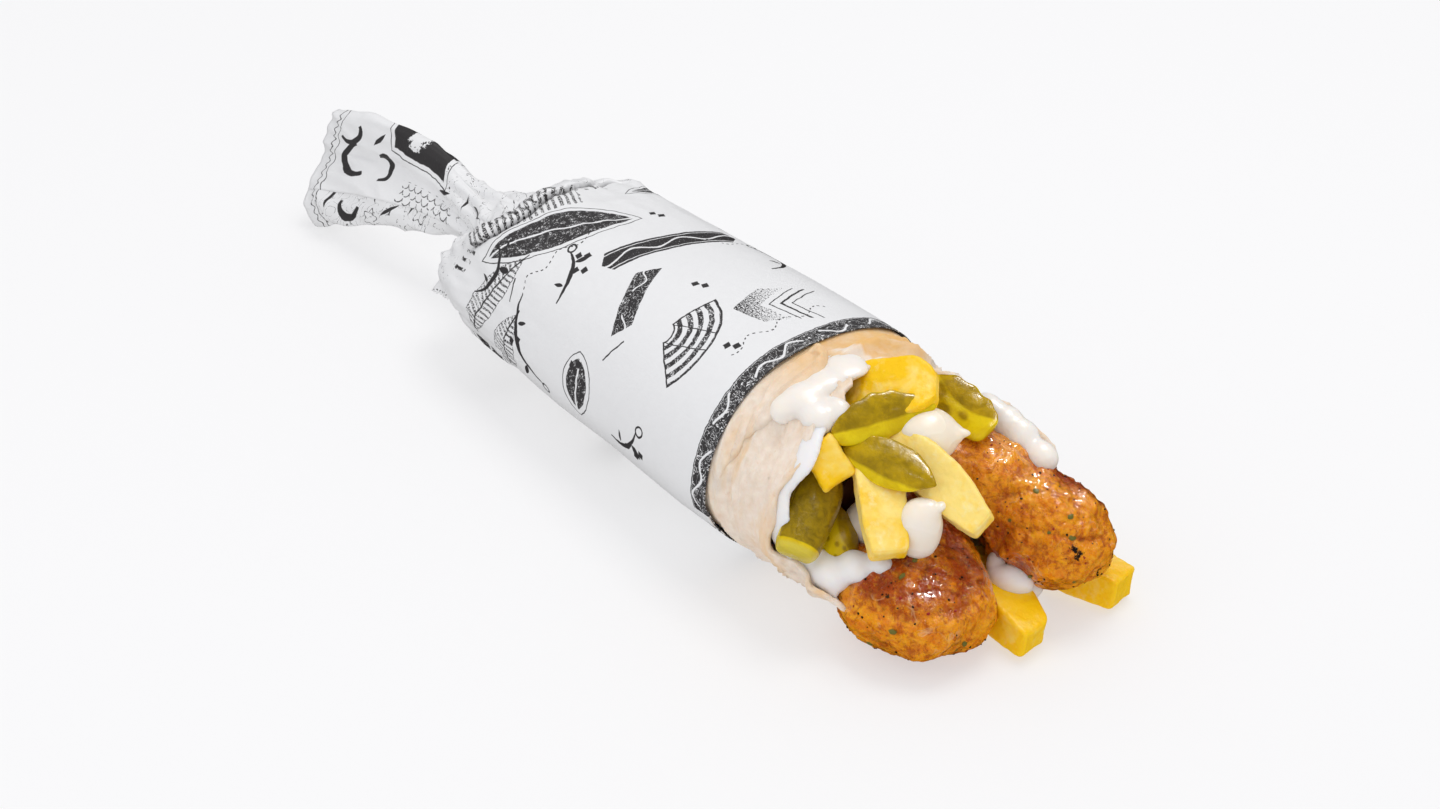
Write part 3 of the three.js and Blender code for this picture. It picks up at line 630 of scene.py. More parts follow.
# a hatched field at the shoulder
p, q = spot(120, -34, 70)
hatch_area = bar(p, q, 34, 13) + coarse_grain * 4 - 2
inks.append(filled(hatch_area) * filled((p * 3.4).wave() * 0.3 + 0.02) * grain.between(0.42, 0.5))

# the tail: swelling strokes, a grainy patch on its upper facet, scales, and a scribbled line near its end
for u, v, turn, radius, thick in ((211, -3, 25, 6.5, 1.5), (200, -2, 200, 5, 1.2), (215, -12, 120, 4.5, 1.2), (208, -64, 60, 5, 1.4)):
    p, q = spot(u, v, turn, at=hand_v)
    inks.append(filled(crescent(p, q, radius, thick, -thick * 0.8).most(-p - radius * 0.2)))
p, q = spot(184, -14, -8, at=hand_v)
patch_hole = filled(far(p - 1, q + 1.0) - 3.2 + (coarse_grain - 0.5) * 9)
inks.append(cut(filled(bar(p + q * 0.4, q, 26, 11)), patch_hole) * grain.between(0.2, 0.26))
inks.append(line(bar(p + q * 0.4, q, 30, 14), 0.35))
p, q = spot(176, 5, 0, at=hand_v)
scale_row = (q / 2.4).by("FLOOR")
scale_p = p / 3.4 + scale_row * 0.5
scale_p = (scale_p - scale_p.by("FLOOR") - 0.5) * 3.4
scales = line(far(scale_p, q - scale_row * 2.4) - 1.7, 0.35)
inks.append(scales * filled(bar(p, q, 26, 11)) * coarse_grain.between(0.42, 0.5))
for u, v, turn, length, width in (
        (205, -71, 50, 9, 1.5), (196, -66, 100, 8, 1.2), (190, -58, 20, 7, 1.4), (216, -70, 80, 6, 1.5), (168, -4, 30, 6, 1.1),
        (180, -56, 65, 7, 1.0), (150, -8, 20, 8, 1.2), (138, -14, 130, 6, 1.0), (144, -3, 70, 7, 1.2), (157, -6, 110, 5, 1.0),
        (130, -21, 30, 8, 1.3), (203, -11, 60, 6, 1.6)):
    p, q = spot(u, v, turn, at=hand_v)
    inks.append(filled(leaf(p, q + (p * 0.5).wave() * 0.8, length, width)))
for u, v, radius in ((186, -64, 3.6), (176, -52, 3.0), (199, -58, 2.6)):
    p, q = spot(u, v, at=hand_v)
    inks.append(line(far(p, q) - radius - (q.by("ARCTAN2", p) * 5).wave() * 0.7, 0.4) * coarse_grain.between(0.4, 0.48))
scrawl = (0.011 - abs(noise(ink_tree, sheet, 0.17, 1, 0.5, 1.6) - 0.5)).between(0.0, 0.004)
crumpled = filled((-hand_v - 86).most(hand_v - 4))
inks.append(scrawl * filled(abs(hand_u - 147) - 24) * crumpled * coarse_grain.between(0.5, 0.56))
inks.append(scrawl * filled(abs(hand_u - 196) - 26) * filled(hand_v + 44) * crumpled * coarse_grain.between(0.44, 0.5))
inks.append(line(hand_u - 223 - (hand_v * 2.3).wave() * 0.7, 0.55) * grain.between(0.36, 0.42))
inks.append(line(hand_u - 220.6 - (hand_v * 1.1).wave() * 0.5, 0.3))

# dots along the folded corner's lower edge
corner_edge = hand_v - CORNER_V * 100 - 1.5
inks.append(line(corner_edge - (hand_u * 2.1).wave() * 0.5, 0.7) * (hand_u * 3.3).wave().between(-0.2, 0.2))
ink = union(*inks)

fibre = noise(ink_tree, sheet, 0.35, 5, 0.65)
paper_white = blended(ink_tree, fibre, (0.775, 0.775, 0.775), (0.82, 0.82, 0.82))
# painted shade: the paper is darkened along the fold's crease
paper_white = blended(ink_tree, attribute(ink_tree, "in_crease") * 0.75, paper_white, (0.12, 0.12, 0.125))
ink_tree.links.new(
    blended(ink_tree, ink * 0.96, paper_white, (0.016, 0.013, 0.014)), paper_shader.inputs["Base Color"])
raised(ink_tree, paper_shader, noise(ink_tree, sheet, 0.9, 4, 0.6), 0.12)
paper.data.materials.append(paper_finish)

solidify = paper.modifiers.new("paper_wall", "SOLIDIFY")
solidify.thickness = PAPER_WALL * MM
solidify.offset = -1
made_plain(paper)
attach(paper, "root")
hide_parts("paper_wrapper")

# ---------------------------------------------------------------- flatbread
# Two layers of thin, floury flatbread, rolled into a cup round the filling and closed at its hidden end. Its
# mouth is torn unevenly: short on top, long at the far side. The outer turn laps over the top and ends in a
# soft free edge that runs down the near side. It bakes on a hot dome, which leaves tan and burnt patches; the
# tan band on top, between the paper's rim and the inner layer's edge, is painted shade.
CLEARANCE = 0.35
BREAD_WALL, BREAD_EDGE, BREAD_BACK = 2.6, 1.5, -108.0
FLAP_THICK = 1.5
MOUTH_EDGE = np.array([
    (0, 56), (10, 51), (20, 47), (30, 38), (36, 22), (45, 14), (60, 15.5), (75, 16), (90, 17), (100, 20), (110, 23), (122, 24),
    (133, 25), (145, 26), (160, 25), (178, 25), (187, 27), (194, 30), (200, 34), (208, 40), (216, 45), (225, 48), (270, 48),
    (300, 48), (330, 52), (350, 56), (360, 56)], float)
FREE_EDGE = np.array([
    (87.5, -3), (88.5, -0.5), (91.5, 6.2), (95.5, 9.8), (103, 12.6), (112, 13.2), (123.5, 12.8), (133, 11),
    (145, 8), (160, 5.5), (190, 4)], float)


def eased_along(pairs, at):
    """A value read off rows of (position, value), eased from each to the next."""
    step = np.clip(np.searchsorted(pairs[:, 0], at), 1, len(pairs) - 1)
    (x0, v0), (x1, v1) = np.moveaxis(pairs[step - 1], -1, 0), np.moveaxis(pairs[step], -1, 0)
    share = np.clip((at - x0) / (x1 - x0), 0, 1)
    return mix(v0, v1, share * share * (3 - 2 * share))


def mouth_edge(angle):
    return eased_along(MOUTH_EDGE, np.degrees(angle) % 360) + 0.8 * np.sin(11 * angle)


def under_paper(x):
    return mix(PAPER_WALL + CLEARANCE, 0.4, smooth(x, 0, 6))


def on_roll(x, angle, depth):
    """Points a depth under the outside of the roll."""
    y, z, w, h, lean, _, gather, _, _ = section_at(x)
    inwards = depth + gather
    across, up = rounded(angle, w - inwards, h - inwards, squareness(angle))
    return np.stack([x + leant(lean, across, up), y + across, z + up], -1)


INNER_EDGE = np.array([(40, 30), (60, 26), (73, 15.5), (80, 8), (90, 4.2), (100, 4)], float)


def bread_relief(x, angle):
    """Soft folds and fine wrinkles that run round the roll, deeper towards the mouth."""
    at = on_roll(x, angle, 1.0)
    round_roll = (at - [0, 0, ROLL_HALF_HEIGHT]) * [1, 0.14, 0.14] + 0.16 * at[..., 2:] * [1, 0, 0]
    folds = 0.75 * ripples(round_roll, 10, 26) + 1.0 * creases(round_roll, 15, 21, 2.2)
    wrinkles = 0.75 * creases(round_roll, 6.5, 22, 1.9) + 0.25 * ripples(round_roll, 3, 27)
    wavy = 0.6 * zigzag(12 * angle / (2 * math.pi) + x / 60) + 0.4 * np.sin(9 * angle + x / 9)
    blisters = 0.12 * ripples(at, 3.2, 23) + 0.25 * ripples(at, 17, 24)
    degrees = np.degrees(angle) % 360
    inner = smooth(x - eased_along(INNER_EDGE, degrees), -0.4, 0.5) * smooth(degrees, 48, 60) * smooth(-degrees, -98, -90)
    sagging = 3.5 * smooth(x, 3, 18) * smooth(degrees, 15, 45) * smooth(-degrees, -85, -62)
    return smooth(x, 3, 30) * wavy - sagging + smooth(x, -3, 6) * (folds + wrinkles + blisters + 0.7 * inner - 0.7)


bread_turn = np.linspace(0, 2 * math.pi, 260, endpoint=False)
hidden_x = np.linspace(BREAD_BACK, -8, 12, endpoint=False)
towards_edge = np.linspace(0, 1, 62)
lip = mouth_edge(bread_turn) + 0.35 * ripples(on_roll(mouth_edge(bread_turn), bread_turn, 2.0), 5, 25)


def bread_ring(x, depth_share, forward=0.0):
    """One ring of the bread. The depth share is 0 on its outside and 1 on its inside."""
    x = np.broadcast_to(x, bread_turn.shape)
    wall = mix(BREAD_WALL, BREAD_EDGE, smooth(x / lip, 0.6, 1))
    points = on_roll(x, bread_turn, under_paper(x) + wall * depth_share - bread_relief(x, bread_turn))
    return points + [forward, 0, 0]


mouth_x = [mix(-8.0, lip, share) for share in towards_edge]
rings = [bread_ring(x, 0) for x in (*hidden_x, *mouth_x)]
for k in (0.25, 0.5, 0.75):
    rings.append(bread_ring(lip, 0.5 - 0.5 * math.cos(math.pi * k), 0.6 * math.sin(math.pi * k)))
rings += [bread_ring(x, 1) for x in (*mouth_x[::-1], *hidden_x[:0:-1])]
rings.append(bread_ring(BREAD_BACK + BREAD_WALL, 1))


def tube(rings):
    """Points and faces of a skin through rings of points, with a fan over each end."""
    rings = np.array(rings)
    count, around = rings.shape[:2]
    corner = (np.arange(count - 1)[:, None] * around + np.arange(around)).ravel()
    beside = (np.arange(count - 1)[:, None] * around + (np.arange(around) + 1) % around).ravel()
    faces = np.stack([corner, beside, beside + around, corner + around], 1).tolist()
    first, last = count * around, count * around + 1
    for i in range(around):
        j = (i + 1) % around
        faces.append([first, j, i])
        faces.append([last, (count - 1) * around + i, (count - 1) * around + j])
    points = np.concatenate([rings.reshape(-1, 3), [rings[0].mean(0), rings[-1].mean(0)]])
    return points, faces


bread_points, bread_faces = tube(rings)

flap_turn = np.radians(np.concatenate([np.linspace(87.5, 106, 90, endpoint=False), np.linspace(106, 190, 130)]))
flap_share = np.linspace(0, 1, 64)
FLAP_TURN, FLAP_SHARE = np.meshgrid(flap_turn, flap_share, indexing="ij")
flap_degrees = np.degrees(FLAP_TURN)
flap_front = np.interp(flap_degrees, *FREE_EDGE.T) + 0.25 * np.sin(flap_degrees / 3.0)
flap_x = mix(-4.0, 15.5, FLAP_SHARE)
edge_slope = np.gradient(np.interp(flap_degrees[:, 0], *FREE_EDGE.T), flap_degrees[:, 0] * 0.64)
inside_edge = (flap_front - flap_x) / np.sqrt(1 + edge_slope[:, None] ** 2)
lipped = smooth(-flap_degrees, -108, -97)
flap_rise = (FLAP_THICK + 1.7 * lipped * np.exp(-((inside_edge - 1.8) / 2.0) ** 2)) * smooth(-flap_degrees, -185, -140)
round_edge = np.sqrt(1 - (1 - np.clip(inside_edge / mix(1.0, 1.8, lipped), 0, 1)) ** 2)
flap_lift = flap_rise * smooth(flap_x, -1.5, 2.5) * round_edge - 0.35
flap_lift = np.where((inside_edge < 0) | (flap_degrees > 188), flap_lift - 1.2, flap_lift)
flap_depth = under_paper(flap_x) - bread_relief(flap_x, FLAP_TURN) - flap_lift
flap_points = on_roll(flap_x, FLAP_TURN, flap_depth).reshape(-1, 3)
flap_faces = grid_faces(*FLAP_TURN.shape)[:, ::-1] + len(bread_points)

bread_points = np.concatenate([bread_points, flap_points])
bread_points[:, 2] = np.maximum(bread_points[:, 2], TABLE_FLAT + 0.05)
bread = new_piece("flatbread", bread_points, [*bread_faces, *flap_faces])


def turned_outwards(piece):
    """The piece with the normals of each closed shell turned outwards."""
    shell = bmesh.new()
    shell.from_mesh(piece.data)
    bmesh.ops.recalc_face_normals(shell, faces=shell.faces)
    shell.to_mesh(piece.data)
    shell.free()
    return piece


turned_outwards(bread)

turn_of_point = np.degrees(np.arctan2(bread_points[:, 2] - ROLL_HALF_HEIGHT, bread_points[:, 1])) % 360
behind_inner = smooth(eased_along(INNER_EDGE, turn_of_point) - bread_points[:, 0], -0.6, 1.2)
# painted shade: the band on top between the paper's rim and the inner layer's edge is tinted tan
baked_top = smooth(turn_of_point, 30, 45) * smooth(-turn_of_point, -92, -86) * behind_inner
baked_flap = 0.85 * smooth(turn_of_point, 86, 92) * smooth(-turn_of_point, -140, -98) * smooth(-bread_points[:, 0], -21, -8)
burnt_at = np.exp(-((bread_points - [9, 27, 54]) ** 2 / [[40, 20, 30]]).sum(1))
# the tan share: baking marks and burnt spots, plus the painted shade on top
give_number(bread, "baked", np.clip(baked_top + baked_flap + 0.5 * burnt_at, 0, 1))
give_number(bread, "burnt", burnt_at)

bread_finish, tree, shader = new_finish("floury_flatbread", roughness=0.85, specular=0.2)
crumb = placed(tree)
patches = noise(tree, placed(tree, (1, 0.3, 0.3)), 0.13, 4, 0.62).between(0.50, 0.70)
# tan from random patches, baking marks and burnt spots, and the painted shade on top
tan = (patches * 0.55 + attribute(tree, "baked") * (noise(tree, crumb, 0.2, 3, 0.6) * 0.9 + 0.35)).least(1.0)
pale = blended(tree, noise(tree, crumb, 0.35, 4, 0.65).between(0.3, 0.7), (0.79, 0.645, 0.52), (0.87, 0.765, 0.655))
bread_colour = blended(tree, tan, pale, (0.80, 0.49, 0.19))
freckles = noise(tree, crumb, 0.9, 2, 0.6).between(0.66, 0.78)
bread_colour = blended(tree, freckles * 0.35, bread_colour, (0.70, 0.42, 0.2))
spots = (noise(tree, placed(tree, (1, 0.4, 0.4)), 0.5, 3, 0.7) * attribute(tree, "burnt")).between(0.5, 0.58)
bread_colour = blended(tree, spots * 0.85, bread_colour, (0.16, 0.06, 0.03))
tree.links.new(bread_colour, shader.inputs["Base Color"])
shader.inputs["Subsurface Weight"].default_value = 0.12
shader.inputs["Subsurface Radius"].default_value = (0.003, 0.0015, 0.0008)
shader.inputs["Subsurface Scale"].default_value = 0.6
raised(tree, shader, noise(tree, crumb, 0.7, 4, 0.6), 0.22)
bread.data.materials.append(bread_finish)
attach(bread, "root")
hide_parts("saj_bread")

# ---------------------------------------------------------------- fries
# Thick-cut potato, fried golden: straight cuts with rounded edges, faces that sink a little as they dry, and a
# finely blistered skin. Each is cut by one rule, then laid between two points with its broad face to a side.


class Steps:
    """A geometry tree with named inputs, built node by node."""

    def __init__(self, name, sizes, on_mesh=False):
        self.tree = bpy.data.node_groups.new(name, "GeometryNodeTree")
        self.tree.interface.new_socket("Geometry", in_out="OUTPUT", socket_type="NodeSocketGeometry")
        if on_mesh:
            self.tree.interface.new_socket("Mesh", in_out="INPUT", socket_type="NodeSocketGeometry")
        self.identifiers = {}
        for label, start in sizes.items():
            socket = self.tree.interface.new_socket(label, in_out="INPUT", socket_type="NodeSocketFloat")
            socket.default_value = start
            self.identifiers[label] = socket.identifier
        self.given = self.tree.nodes.new("NodeGroupInput").outputs

    def node(self, kind, inputs=(), **settings):
        """A new node. The inputs are (index or name, value or socket)."""
        made = self.tree.nodes.new(kind)
        for key, value in settings.items():
            setattr(made, key, value)
        for key, value in inputs:
            if isinstance(value, bpy.types.NodeSocket):
                self.tree.links.new(value, made.inputs[key])
            else:
                made.inputs[key].default_value = value
        return made

    def maths(self, operation, *values):
        return self.node("ShaderNodeMath", enumerate(values), operation=operation).outputs[0]

    def vectors(self, operation, *values):
        made = self.node("ShaderNodeVectorMath", enumerate(values), operation=operation)
        return made.outputs["Value" if operation in ("LENGTH", "DOT_PRODUCT") else "Vector"]

    def vector(self, x, y, z):
        return self.node("ShaderNodeCombineXYZ", enumerate((x, y, z))).outputs[0]

    def split(self, vector):
        return self.node("ShaderNodeSeparateXYZ", [(0, vector)]).outputs

    def eased(self, value, low, high, at_low, at_high):
        return self.node("ShaderNodeMapRange", [(0, value), (1, low), (2, high), (3, at_low), (4, at_high)],
                         interpolation_type="SMOOTHSTEP").outputs[0]

    def cloud(self, position, scale, seed, detail=2.0):
        """Noise about zero, from -0.5 to 0.5."""
        made = self.node("ShaderNodeTexNoise", [
            ("Vector", position), ("W", seed), ("Scale", scale), ("Detail", detail)], noise_dimensions="4D")
        return self.maths("SUBTRACT", made.outputs[0], 0.5)

    def finish(self, geometry, material):
        realized = self.node("GeometryNodeRealizeInstances", [(0, geometry)]).outputs[0]
        painted = self.node("GeometryNodeSetMaterial", [(0, realized), ("Material", material)]).outputs[0]
        self.tree.links.new(painted, self.tree.nodes.new("NodeGroupOutput").inputs[0])


def grown_by(steps, name, sizes, start=None):
    """A plain mesh object made by a geometry tree with these sizes, from a start mesh if it takes one."""
    piece = bpy.data.objects.new(name, start or bpy.data.meshes.new(name))
    scene.collection.objects.link(piece)
    modifier = piece.modifiers.new("steps", "NODES")
    modifier.node_group = steps.tree
    for label, value in sizes.items():
        modifier[steps.identifiers[label]] = value
    return made_plain(piece)


fry_finish, tree, shader = new_finish("fried_potato", roughness=0.42, specular=0.22)
crisp = placed(tree)
mottle = (noise(tree, crisp, 0.11, 3, 0.6, 0.4) + (attribute(tree, "pale") - 0.3) * 0.4).between(0.42, 0.66)
fry_colour = blended(tree, mottle, (0.98, 0.585, 0.002), (1.0, 0.75, 0.21))
flecks = noise(tree, crisp, 0.42, 4, 0.65)
flecks = flecks.between(0.50, 0.68) * (noise(tree, crisp, 0.1, 2) + attribute(tree, "pale") * 0.2).between(0.46, 0.62)
fry_colour = blended(tree, flecks * (attribute(tree, "pale") * 0.5 + 0.25), fry_colour, (1.0, 0.84, 0.42))
rim_share = (attribute(tree, "rim") * 2.2 + (noise(tree, crisp, 0.5, 2) - 0.5) * 0.9).between(0.3, 0.8)
fry_colour = blended(tree, rim_share * 0.4, fry_colour, (0.87, 0.50, 0.02))
tree.links.new(fry_colour, shader.inputs["Base Color"])
shader.inputs["Subsurface Weight"].default_value = 0.2
shader.inputs["Subsurface Radius"].default_value = (0.0022, 0.0012, 0.0002)
shader.inputs["Subsurface Scale"].default_value = 0.8
raised(tree, shader, noise(tree, crisp, 0.8, 4, 0.6), 0.2)

fry_cut = Steps("fry_cut", {
    "Length": 30, "Width": 13, "Thick": 11, "Rounding": 1.4, "Start size": 0.86, "End size": 0.86, "Bow": 0,
    "Slant": 0, "Sunk": 0.45, "Tip": 0, "Seed": 1})
g = fry_cut.given
size = fry_cut.vector(g["Length"], g["Width"], g["Thick"])
block = fry_cut.node("GeometryNodeMeshCube", [
    ("Size", size), ("Vertices X", 70), ("Vertices Y", 28), ("Vertices Z", 24)]).outputs[0]
here = fry_cut.node("GeometryNodeInputPosition").outputs[0]
inner = fry_cut.vectors("SUBTRACT", fry_cut.vectors("MULTIPLY", size, (0.5, 0.5, 0.5)),
                        fry_cut.vector(g["Rounding"], g["Rounding"], g["Rounding"]))
kept = fry_cut.vectors("MINIMUM", fry_cut.vectors("MAXIMUM", here, fry_cut.vectors(
    "MULTIPLY", inner, (-1, -1, -1))), inner)
outward = fry_cut.vectors("NORMALIZE", fry_cut.vectors("SUBTRACT", here, kept))
ox, oy, oz = fry_cut.split(fry_cut.vectors("ABSOLUTE", outward))
rim_amount = fry_cut.maths("SUBTRACT", 1.0, fry_cut.maths("MAXIMUM", fry_cut.maths("MAXIMUM", ox, oy), oz))
block = fry_cut.node("GeometryNodeStoreNamedAttribute", [
    (0, block), ("Name", "rim"), ("Value", rim_amount)], data_type="FLOAT").outputs[0]
edge_round = fry_cut.node("ShaderNodeVectorMath", [(0, outward), (3, g["Rounding"])], operation="SCALE").outputs[0]
rounded_at = fry_cut.vectors("ADD", kept, edge_round)
x, y, z = fry_cut.split(rounded_at)
share = fry_cut.maths("ADD", fry_cut.maths("DIVIDE", x, g["Length"]), 0.5)
narrow = fry_cut.maths("MULTIPLY", fry_cut.eased(share, 0.0, 0.4, g["Start size"], 1.0),
                       fry_cut.eased(share, 0.6, 1.0, 1.0, g["End size"]))
from_middle = fry_cut.maths("MULTIPLY", fry_cut.maths("ABSOLUTE", fry_cut.maths("SUBTRACT", share, 0.5)), 2.0)
in_tip = fry_cut.maths("MAXIMUM", fry_cut.maths("DIVIDE", fry_cut.maths("SUBTRACT", from_middle, 0.4), 0.6), 0.0)
tip_loss = fry_cut.maths("MULTIPLY", g["Tip"], fry_cut.maths("MULTIPLY", in_tip, in_tip))
narrow = fry_cut.maths("MULTIPLY", narrow, fry_cut.maths("SQRT", fry_cut.maths("SUBTRACT", 1.0, tip_loss)))
hollow_y = fry_cut.maths("DIVIDE", y, g["Width"])
hollow_z = fry_cut.maths("DIVIDE", z, g["Thick"])
dip_y = fry_cut.maths("SUBTRACT", 1.0, fry_cut.maths("MULTIPLY", 4.0, fry_cut.maths("MULTIPLY", hollow_y, hollow_y)))
dip_z = fry_cut.maths("SUBTRACT", 1.0, fry_cut.maths("MULTIPLY", 4.0, fry_cut.maths("MULTIPLY", hollow_z, hollow_z)))
sunk = fry_cut.maths("MULTIPLY", g["Sunk"], 2.0)
sink_z = fry_cut.maths("MULTIPLY", fry_cut.maths("MULTIPLY", sunk, dip_y), hollow_z)
sink_y = fry_cut.maths("MULTIPLY", fry_cut.maths("MULTIPLY", sunk, dip_z), hollow_y)
bowed = fry_cut.maths("MULTIPLY", g["Bow"], fry_cut.maths("SINE", fry_cut.maths("MULTIPLY", share, math.pi)))
new_y = fry_cut.maths("ADD", fry_cut.maths("MULTIPLY", fry_cut.maths("SUBTRACT", y, sink_y), narrow), bowed)
new_z = fry_cut.maths("MULTIPLY", fry_cut.maths("SUBTRACT", z, sink_z), narrow)
askew = fry_cut.maths("MULTIPLY", fry_cut.maths("MULTIPLY", g["Slant"], hollow_y),
                      fry_cut.maths("MULTIPLY", g["Length"], fry_cut.eased(share, 0.5, 1.0, 0.0, 1.0)))
shaped = fry_cut.node("GeometryNodeSetPosition", [
    (0, block), ("Position", fry_cut.vector(fry_cut.maths("ADD", x, askew), new_y, new_z))]).outputs[0]
normal = fry_cut.node("GeometryNodeInputNormal").outputs[0]
swell = fry_cut.maths("ADD", fry_cut.maths("MULTIPLY", fry_cut.cloud(here, 0.13, g["Seed"]), 1.3),
                      fry_cut.maths("MULTIPLY", fry_cut.cloud(here, 0.62, g["Seed"], 3.0), 0.55))
moved = fry_cut.node("ShaderNodeVectorMath", [(0, normal), (3, swell)], operation="SCALE").outputs[0]
blistered = fry_cut.node("GeometryNodeSetPosition", [(0, shaped), ("Offset", moved)]).outputs[0]
smoothed = fry_cut.node("GeometryNodeSetShadeSmooth", [(0, blistered)]).outputs[0]
fry_cut.finish(smoothed, fry_finish)

FRIES = {
    "fry_top": dict(start=(14.5, -3, 52.5), end=(34, 11, 60.5), face=(0.25, -0.4, 0.87), width=18, thick=8.5,
                    ends=(0.95, 0.95), tip=0.85),
    "fry_block": dict(start=(12, -7, 34), end=(30.2, -22.6, 49.6), face=(0.305, 0.837, 0.457), width=13.2, thick=10.5,
                      ends=(0.55, 0.97)),
    "fry_long": dict(start=(28.5, -4, 49.5), end=(64, 0, 38), face=(0.25, -0.6, 0.75), width=13, thick=10.5,
                     ends=(0.85, 0.72), bow=1.2, tip=0.35),
    "fry_upright": dict(start=(33, -9.5, 48.5), end=(52.6, -21.4, 32.5), face=(0.6, -0.4, 0.7), width=12.5, thick=8.5,
                        ends=(0.95, 0.8)),
    "fry_front": dict(start=(42, 15, 9), end=(76.5, 8, 6), face=(0.1, 0.1, 1), width=13.5, thick=11, slant=-0.1,
                      tip=0.3),
    "fry_far": dict(start=(40, 32, 9), end=(76, 41, 6.2), face=(0, 0.1, 1), width=13, thick=11),
}


FRY_PALE = (0.1, 0.25, 0.72, 0.6, 0.0, 0.1)  # how lightly each was fried


def laid(piece, start, end, face):
    """The piece, made along x round the origin, laid from start to end with its z side to the face."""
    start, end, face = Vector(start), Vector(end), Vector(face)
    lengthwise = (end - start).normalized()
    across = face.cross(lengthwise).normalized()
    turn = Matrix((lengthwise, across, lengthwise.cross(across))).transposed().to_4x4()
    place = Matrix.Translation(in_part((start + end) / 2)) @ turn @ Matrix.Scale(MM, 4)
    piece.data.transform(place)
    return (end - start).length


for number, (name, cut_of) in enumerate(FRIES.items()):
    length = (Vector(cut_of["end"]) - Vector(cut_of["start"])).length
    ends = cut_of.get("ends", (0.86, 0.86))
    fry = grown_by(fry_cut, name + "_fried", {
        "Length": length, "Width": float(cut_of["width"]), "Thick": float(cut_of["thick"]),
        "Start size": float(ends[0]), "End size": float(ends[1]), "Bow": float(cut_of.get("bow", 0)),
        "Slant": float(cut_of.get("slant", 0)), "Tip": float(cut_of.get("tip", 0)), "Seed": 3.7 * number})
    give_number(fry, "pale", np.full(len(fry.data.vertices), FRY_PALE[number]))
    laid(fry, cut_of["start"], cut_of["end"], cut_of["face"])
    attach(fry, "root")
    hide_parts(name)

# ---------------------------------------------------------------- pickled cucumber
# Long slices and a spear of pickled cucumber, wet and slightly see-through: yellow-green flesh, a darker seedy
# heart, and olive skin on the outer side. Each is laid between two points with its broad face to a side.
PICKLES = {
    "pickle_under_top": dict(start=(27, -18.5, 54), end=(36, 8, 57), face=(0.6, -0.6, 0.55), width=12, thick=3.0,
                             bow=1.5, wave=0.5, scallop=0.3, taper=(0.45, 0.75), heart_from=-0.25, heart_ends=0.2),
    "pickle_middle": dict(start=(28, -15, 51), end=(53.5, -7, 48), face=(0.5, -0.45, 0.75), width=12.5,
                          thick=3.4, wave=0.4, taper=(0.5, 0.8), heart_from=-0.62, heart_ends=0.1),
    "pickle_far": dict(start=(22, 19, 53), end=(45, 20, 48.3), face=(0.35, -0.55, 0.75), width=13, thick=2.4,
                       wave=0.9, scallop=0.35, bulge=0.2, taper=(0.5, 0.28),
                       heart_from=0.1, heart_ends=0.25, patches=((0.2, -0.1, 0.2), (0.4, -0.5, 0.12), (0.62, -0.2, 0.08))),
    "pickle_spear": dict(start=(24.3, -18.6, 40), end=(33, -36.2, 28.5), face=(0.65, -0.55, 0.5), width=13,
                         thick=8, bulge=1.6, taper=(0.12, 0.12), square=3.6, skinned=True),
    "pickle_stub": dict(start=(24, -17, 30), end=(39.5, -24, 22), face=(0.6, -0.5, 0.6), width=10.5, thick=6,
                        taper=(0.3, 0.5), square=2.8, heart_from=0.2, heart_ends=0.3,
                        patches=((0.68, -0.1, 0.05), (0.84, -0.35, 0.05), (0.55, -0.45, 0.05), (0.76, 0.2, 0.05))),
}
PICKLE_AROUND, PICKLE_STEPS = 84, 110


def pickle_rings(length, width, thick, taper, square=2.3, bulge=0.6, bow=0.0, wave=0.0, scallop=0.0,
                 seed=0, **_):
    """Rings of one slice along x, its broad face up; and how far each point is along, across and up in it."""
    share = np.linspace(0, 1, PICKLE_STEPS)[:, None]
    angle = (np.arange(PICKLE_AROUND) + 0.5) / PICKLE_AROUND * 2 * math.pi
    power = mix(taper[0], taper[1], smooth(share, 0.35, 0.65))
    girth = np.sin(math.pi * mix(0.012, 0.988, share)) ** power
    u, v = rounded(angle, width / 2 * girth, thick / 2 * np.sqrt(girth), square)
    edge_waves = scallop * np.sin(share * length * 1.1 + seed) * (2 * u / width) ** 3
    crown = bulge * (1 - (2 * u / width) ** 2) * girth
    x = share * length + 0 * u
    curl = wave * np.sin(2.4 * math.pi * share) + 0.5 * (2 * u / width) ** 2 * np.sin(3 * share + seed)
    points = np.stack([x, u + edge_waves + bow * np.sin(math.pi * share), v + crown + curl], -1)
    outwards = points - points.mean(1, keepdims=True)
    outwards /= np.maximum(np.linalg.norm(outwards, axis=-1, keepdims=True), 1e-6)
    at = points + [11.0 * seed, 0, 0]
    relief = 0.09 * ripples(at * [0.2, 1, 1], 3.2, 31) + 0.2 * ripples(at, 9, 33)
    return points + outwards * relief[..., None] - [length / 2, 0, 0], share + 0 * u, 2 * u / width + 0 * x, v / thick * 2


pickle_finish, tree, shader = new_finish("pickled_cucumber", roughness=0.22, specular=0.35)
wet = placed(tree)
cloudy = noise(tree, wet, 0.16, 4, 0.6, 0.8)
streaked = noise(tree, wet, 0.45, 4, 0.6, 0.8)
flesh = blended(tree, cloudy.between(0.35, 0.65), (0.66, 0.46, 0.002), (0.80, 0.61, 0.006))
heart = blended(tree, (cloudy * 0.7 + streaked * 0.3).between(0.4, 0.62), (0.30, 0.19, 0.003), (0.52, 0.335, 0.003))
dark = (attribute(tree, "heart") + (streaked - 0.5) * 0.35).between(0.25, 0.65)
pickle_colour = blended(tree, dark, flesh, heart)
skin_colour = blended(tree, streaked.between(0.35, 0.65), (0.21, 0.135, 0.004), (0.36, 0.235, 0.004))
pickle_colour = blended(tree, attribute(tree, "skin").between(0.35, 0.65), pickle_colour, skin_colour)
